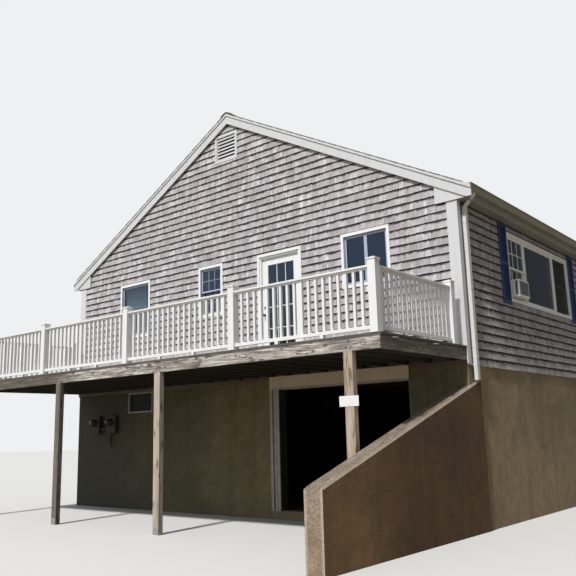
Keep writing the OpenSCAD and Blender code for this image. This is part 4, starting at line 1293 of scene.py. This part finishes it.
class HOUSE_OT_deck_fixings(bpy.types.Operator):
    """Add the deck's screws, joist hangers, post bolts and bases and the lights on its rim"""

    bl_idname = "house.deck_fixings"
    bl_label = "Deck fixings"

    def execute(self, context):
        details = context.scene.house_details
        screw, thick = details.screw, details.hanger
        joists = sorted(solids_of("deck_joists"), key=middle_x)
        board_edge = 0.025
        head = turned([(0.0005, -0.001), (screw, -0.001), (screw, 0.0004), (0.0005, 0.0006)], 6)
        places = [
            (middle_x(joist), edge, DECK_TOP)
            for joist in joists for low, high in solids_of("deck_boards")
            for edge in (low[1] + board_edge, high[1] - board_edge)
        ]
        screws = repeated(upright(head, (0, 0, 0)), places)
        make_piece("deck_screws", screws, "galvanised", "grey_steel")
        make_piece("joist_hangers", hangers(joists, thick), "dark fittings", "grey_steel")
        bolt = turned([(0.0005, 0), (0.014, 0.0), (0.013, 0.004), (0.008, 0.008), (0.0005, 0.009)], 12)
        rim_foot = low_of("deck_rim")[2]
        bolts = [
            placed(bolt, (middle_x(post) + shift, DECK_FRONT, rim_foot + level))
            for post in POSTS for shift, level in ((-0.022, 0.055), (0.022, 0.13))
        ]
        make_piece("post_bolts", joined(*bolts), "dark fittings", "grey_steel", 35)
        make_piece("rim_lights", rim_lights(high_of("deck_rim")), "light shell", "white_vinyl", 35)
        make_piece("post_bases", post_bases(thick), "galvanised", "grey_steel")
        return {"FINISHED"}


def hangers(joists, thick):
    """A bent steel hanger at both ends of each joist: a seat under it, a cheek on each side and
    two flanges on the board that carries it."""
    deep, flange, cheek = 0.045, 0.032, 0.125
    boxes = []
    for low, high in joists:
        left, right, seat = low[0], high[0], low[2]
        for wall, inwards in ((high[1], -1), (low[1], 1)):
            near, far = sorted((wall, wall + inwards * deep))
            back, front = sorted((wall, wall + inwards * thick))
            boxes.append(((left - thick, near, seat - thick), (right + thick, far, seat)))
            for inner, outer, start, end in (
                (left - thick, left, near, far),
                (right, right + thick, near, far),
                (left - flange, left - thick, back, front),
                (right + thick, right + flange, back, front),
            ):
                boxes.append(((inner, start, seat), (outer, end, seat + cheek)))
    return blocks(boxes)


def rim_lights(rim_high):
    """Two flat half-round lights that stand out of the deck's right side under the boards: an
    outline of half a circle carried up through a rim, a face and a slightly smaller lens."""
    angle = np.linspace(-np.pi / 2, np.pi / 2, 21)
    radius, height = np.array(
        [(0.058, 0.0), (0.065, 0.003), (0.065, 0.011), (0.060, 0.014), (0.030, 0.016)]
    ).T[:, :, None]
    light = carried(np.stack([radius * np.sin(angle), radius * np.cos(angle), height + 0 * angle], -1))
    return joined(*(
        placed(light, (rim_high[0], DECK_FRONT + reach, rim_high[2] - 0.036), (0, 1, 0), (1, 0, 0))
        for reach in (0.35, 1.45)
    ))


def post_bases(thick):
    """A folded steel shoe at the foot of each post: a strap up its front and its back, and a
    bolt head on the front."""
    tall, inset = 0.115, 0.018
    bolt = turned([(0.0005, 0), (0.011, 0.0), (0.010, 0.005), (0.0005, 0.007)], 6)
    shapes = []
    for low, high in POSTS:
        left, right, foot = low[0] + inset, high[0] - inset, low[2]
        shapes.append(blocks([
            ((left, low[1] - thick, foot), (right, low[1], foot + tall)),
            ((left, high[1], foot), (right, high[1] + thick, foot + tall)),
        ]))
        shapes.append(placed(bolt, (middle_x((low, high)), low[1] - thick, foot + 0.07)))
    return joined(*shapes)


# Small fittings

class HOUSE_OT_shutter_backs(bpy.types.Operator):
    """Close each shutter behind its louvres with a thin board"""

    bl_idname = "house.shutter_backs"
    bl_label = "Shutter backs"

    def execute(self, context):
        backs = [
            (low + (0.004, 0.030, 0.030), (low[0] + 0.009, high[1] - 0.030, high[2] - 0.030))
            for low, high in solids_of("shutters")
        ]
        make_piece("shutter_backs", blocks(backs, 0.001), "shutter paint", "navy_paint")
        return {"FINISHED"}


METER_PARTS = (
    ("meter_covers", "meter glass", "window_glass", 40, 32, [(0.001, 0.046), (0.045, 0.040),
        (0.066, 0.022), (0.074, 0.0), (0.071, 0.0), (0.063, 0.020), (0.043, 0.037), (0.001, 0.043)]),
    ("meter_dials", "dial", "grey_steel", None, 32, [(0.001, 0), (0.062, 0), (0.062, 0.002),
        (0.001, 0.0021)]),
    ("meter_bands", "meter steel", "grey_steel", 40, 40, [(0.078, -0.052), (0.086, -0.050),
        (0.090, -0.040), (0.086, -0.030), (0.078, -0.028)]),
)


class HOUSE_OT_meter_fittings(bpy.types.Operator):
    """Add glass covers, blank dial plates and bands to the electric meters"""

    bl_idname = "house.meter_fittings"
    bl_label = "Meter fittings"

    def execute(self, context):
        low, high = low_of("electric_meters"), high_of("electric_meters")
        half_box, dome_drop = 0.150, 0.38 * 0.38
        centres = [(x, low[1], high[2] - dome_drop) for x in (low[0] + half_box, high[0] - half_box)]
        for name, coat, slot, smooth, sides, profile in METER_PARTS:
            discs = [placed(turned(profile, sides), centre) for centre in centres]
            make_piece(name, joined(*discs), coat, slot, smooth)
        return {"FINISHED"}


class HOUSE_OT_cooler_grille(bpy.types.Operator):
    """Add dark side louvres, an outer guard mesh and a drip tray to the room air conditioner"""

    bl_idname = "house.cooler_grille"
    bl_label = "Air conditioner grille"

    def execute(self, context):
        low, high = low_of("air_conditioner"), high_of("air_conditioner")
        edge, thin, pitch = 0.028, 0.004, 0.012
        wall, front = HALF_WIDTH + 0.045 + edge, high[0]
        left, right, foot, top = low[1] + edge, high[1] - edge, low[2] + edge, high[2] - edge
        louvre = prism([(0.0, 0.0), (0.005, 0.004), (0.006, 0.010), (0.0, 0.014)], wall, front - edge)
        rows = [
            repeated(placed(louvre, (0, 0, 0), out=(0, side, 0)),
                [(0, y + side * thin, level) for level in np.arange(foot + 0.006, top - 0.016, 0.026)])
            for side, y in ((-1, low[1]), (1, high[1]))
        ]
        sides = [
            ((wall, low[1] - thin, foot), (front - edge, low[1], top)),
            ((wall, high[1], foot), (front - edge, high[1] + thin, top)),
        ]
        uprights = [
            ((front, y, foot), (front + 0.0025, y + 0.005, top)) for y in np.arange(left, right, pitch)
        ]
        levels = [
            ((front + 0.0005, left, z), (front + 0.003, right, z + 0.004))
            for z in np.arange(foot, top, pitch)
        ]
        mesh = joined(*rows, blocks(sides + uprights + levels))
        make_piece("cooler_mesh", mesh, "cooler mesh", "grey_steel")
        tray = ((HALF_WIDTH + 0.03, low[1] - 0.004, low[2] - 0.012),
            (front + 0.004, high[1] + 0.004, low[2] + 0.004))
        make_piece("cooler_tray", blocks([tray], 0.003), "appliance enamel", "appliance_white")
        return {"FINISHED"}


class HOUSE_OT_post_sign(bpy.types.Operator):
    """Screw a blank white plate to the front of the right deck post"""

    bl_idname = "house.post_sign"
    bl_label = "Post sign"

    def execute(self, context):
        details = context.scene.house_details
        middle, level = max(middle_x(post) for post in POSTS), 1.826
        half, tall = details.sign_width / 2, details.sign_height
        curl, thick = 0.006, 0.003
        across = np.linspace(-half, half, 13)
        plate = sheet(across, (0, tall), curl * (np.abs(across) / half) ** 2, thick)
        make_piece("sign_plate", placed(plate, (middle, DECK_FRONT - 0.0005, level)), "sign plate",
            "white_vinyl", 30)
        screw = turned([(0.0005, 0.002), (0.006, 0.002), (0.005, 0.005), (0.0005, 0.006)], 12)
        screws = [
            placed(screw, (middle, DECK_FRONT - 0.001, level + height)) for height in (0.03, tall - 0.03)
        ]
        make_piece("sign_screws", joined(*screws), "galvanised", "grey_steel", 35)
        return {"FINISHED"}


# Finishes of the frame's own nodes

class HOUSE_OT_node_finishes(bpy.types.Operator):
    """Give every node of the frame its finish"""

    bl_idname = "house.node_finishes"
    bl_label = "Finishes"

    def execute(self, context):
        for name, nodes in NODE_FINISHES.items():
            for node in nodes:
                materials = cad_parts[node].data.materials
                materials.clear()
                materials.append(finished(name))
        missing = set(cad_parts) - {node for nodes in NODE_FINISHES.values() for node in nodes}
        if missing:
            raise RuntimeError(f"nodes without a finish: {sorted(missing)}")
        return {"FINISHED"}


# Stage

CAMERA_PLACE = (9.821, -14.1335, 1.506)
CAMERA_YAW = 0.6837
CAMERA_PITCH = 0.1998
CAMERA_ROLL = -0.0265
SENSOR = 36.0


def stand(item, across, up, back, place=(0, 0, 0)):
    """Links an object with its X, Y and Z turned to three directions, at a place."""
    matrix = np.eye(4)
    matrix[:3] = np.array([across, up, back, place]).T
    item.matrix_world = matrix.T
    bpy.context.scene.collection.objects.link(item)


def make_camera(lens):
    """The camera at the photograph's place and angle: forward turns by yaw about Z and rises by
    pitch, and right and up are then rolled about it."""
    data = bpy.data.cameras.new("photo_view")
    data.lens = lens
    data.sensor_width = SENSOR
    data.clip_end = 400
    camera = bpy.data.objects.new("photo_view", data)
    ahead, rise = math.cos(CAMERA_PITCH), math.sin(CAMERA_PITCH)
    right = np.array([math.cos(CAMERA_YAW), math.sin(CAMERA_YAW), 0.0])
    forward = np.array([-right[1] * ahead, right[0] * ahead, rise])
    up = np.cross(right, forward)
    level, tilt = math.cos(CAMERA_ROLL), math.sin(CAMERA_ROLL)
    stand(camera, level * right + tilt * up, level * up - tilt * right, -forward, CAMERA_PLACE)
    bpy.context.scene.camera = camera


def make_lamp(name, strength, spread, tint, towards):
    """A sun lamp that shines from a direction: its own Z looks back towards the light."""
    data = bpy.data.lights.new(name, "SUN")
    data.energy = strength
    data.angle = math.radians(spread)
    data.color = tint
    towards = np.array(towards) / np.linalg.norm(towards)
    side = np.cross([0, 0, 1], towards)
    side /= np.linalg.norm(side)
    stand(bpy.data.objects.new(name, data), side, np.cross(towards, side), towards)


def floor_paint(n, settings):
    """The floor's colour to the camera, and a darker ground tone for the light it throws."""
    seen = n.add("LightPath")["Is Camera Ray"]
    return dict(Base_Color=n.blended(seen, settings.ground, settings.floor), Roughness=0.9)


def make_floor(settings):
    """A wide pale floor: one flat disc just under the house."""
    radius, sides, level = 90.0, 96, -0.002
    angle = np.arange(sides) * 2 * np.pi / sides
    points = np.stack([radius * np.cos(angle), radius * np.sin(angle), np.full(sides, level)], 1)
    mesh = bpy.data.meshes.new("pale_floor")
    mesh.from_pydata(points.tolist(), [], [list(range(sides))])
    mesh.materials.append(finish("pale floor", floor_paint, settings))
    floor = bpy.data.objects.new("pale_floor", mesh)
    bpy.context.scene.collection.objects.link(floor)


def make_world(sky):
    """Soft cool light, dimmer from behind the house on the right, the same shape of light in
    reflections, darkness behind glass and a pale backdrop where the camera sees past the floor."""
    world = bpy.data.worlds.new("studio")
    world.use_nodes = True
    n = Nodes(world.node_tree)
    n.tree.nodes.clear()
    path = n.add("LightPath")
    way = n.add("TexCoord")["Generated"]
    behind = n.add("VectorMath", {0: way, 1: (0.55, 0.80, -0.25)}, operation="DOT_PRODUCT")["Value"]
    far = n.ranged(behind, -0.25, 0.65)
    light, mirrored, dark, backdrop = [
        n.add("Background", {"Color": tint, "Strength": strength})[0] for tint, strength in (
            ((0.90, 0.95, 1.0), n.ranged(far, 0.0, 1.0, sky, 0.8 * sky)),
            ((0.82, 0.92, 1.0), n.ranged(far, 0.0, 1.0, 0.95, 0.16)),
            ((0.03, 0.035, 0.04), 1.0),
            ((0.86, 0.87, 0.88), 1.0),
        )
    ]
    for ray, other in (("Glossy", mirrored), ("Transmission", dark), ("Camera", backdrop)):
        light = n.add("MixShader", {0: path[f"Is {ray} Ray"], 1: light, 2: other})[0]
    n.add("OutputWorld", {"Surface": light})
    bpy.context.scene.world = world


class HOUSE_OT_stage(bpy.types.Operator):
    """Set the camera, the key lamp, the soft fill, the sky and the pale floor"""

    bl_idname = "house.stage"
    bl_label = "Stage"

    def execute(self, context):
        settings = context.scene.house_stage
        context.scene.view_settings.view_transform = "Standard"
        make_camera(settings.lens)
        make_lamp("key_sun", settings.sun, 4, (1.0, 0.97, 0.94), (0.08, -0.60, 0.79))
        make_lamp("soft_fill", settings.fill, 70, (0.93, 0.97, 1.0), (-0.40, -0.85, 0.35))
        make_floor(settings)
        make_world(settings.sky)
        return {"FINISHED"}


OPERATORS = (
    HOUSE_OT_stage,
    HOUSE_OT_node_finishes,
    HOUSE_OT_wall_shingles,
    HOUSE_OT_roof_covering,
    HOUSE_OT_window_bars,
    HOUSE_OT_blinds,
    HOUSE_OT_window_screens,
    HOUSE_OT_door_fittings,
    HOUSE_OT_gutter_fittings,
    HOUSE_OT_deck_fixings,
    HOUSE_OT_shutter_backs,
    HOUSE_OT_meter_fittings,
    HOUSE_OT_cooler_grille,
    HOUSE_OT_post_sign,
)


class HOUSE_PT_finishes(bpy.types.Panel):
    """Lists the settings and the operators of the beach house."""

    bl_idname = "HOUSE_PT_finishes"
    bl_label = "Beach House"
    bl_space_type = "VIEW_3D"
    bl_region_type = "UI"
    bl_category = "Beach House"

    def draw(self, context):
        for key, settings in SETTINGS.items():
            box = self.layout.box()
            box.label(text=settings.__doc__)
            for name in settings.__annotations__:
                box.prop(getattr(context.scene, key), name)
        for operator in OPERATORS:
            self.layout.operator(operator.bl_idname)


def register():
    """Registers the settings, the operators and the panel."""
    for settings in SETTINGS.values():
        bpy.utils.register_class(settings)
    for key, settings in SETTINGS.items():
        setattr(bpy.types.Scene, key, bpy.props.PointerProperty(type=settings))
    for operator in OPERATORS:
        bpy.utils.register_class(operator)
    bpy.utils.register_class(HOUSE_PT_finishes)


def unregister():
    """Takes the panel, the operators and the settings away again."""
    bpy.utils.unregister_class(HOUSE_PT_finishes)
    for operator in reversed(OPERATORS):
        bpy.utils.unregister_class(operator)
    for key in SETTINGS:
        delattr(bpy.types.Scene, key)
    for settings in SETTINGS.values():
        bpy.utils.unregister_class(settings)


def main():
    """Builds every piece in order."""
    register()
    for operator in OPERATORS:
        group, name = operator.bl_idname.split(".")
        getattr(getattr(bpy.ops, group), name)()


if __name__ == "__main__":
    main()
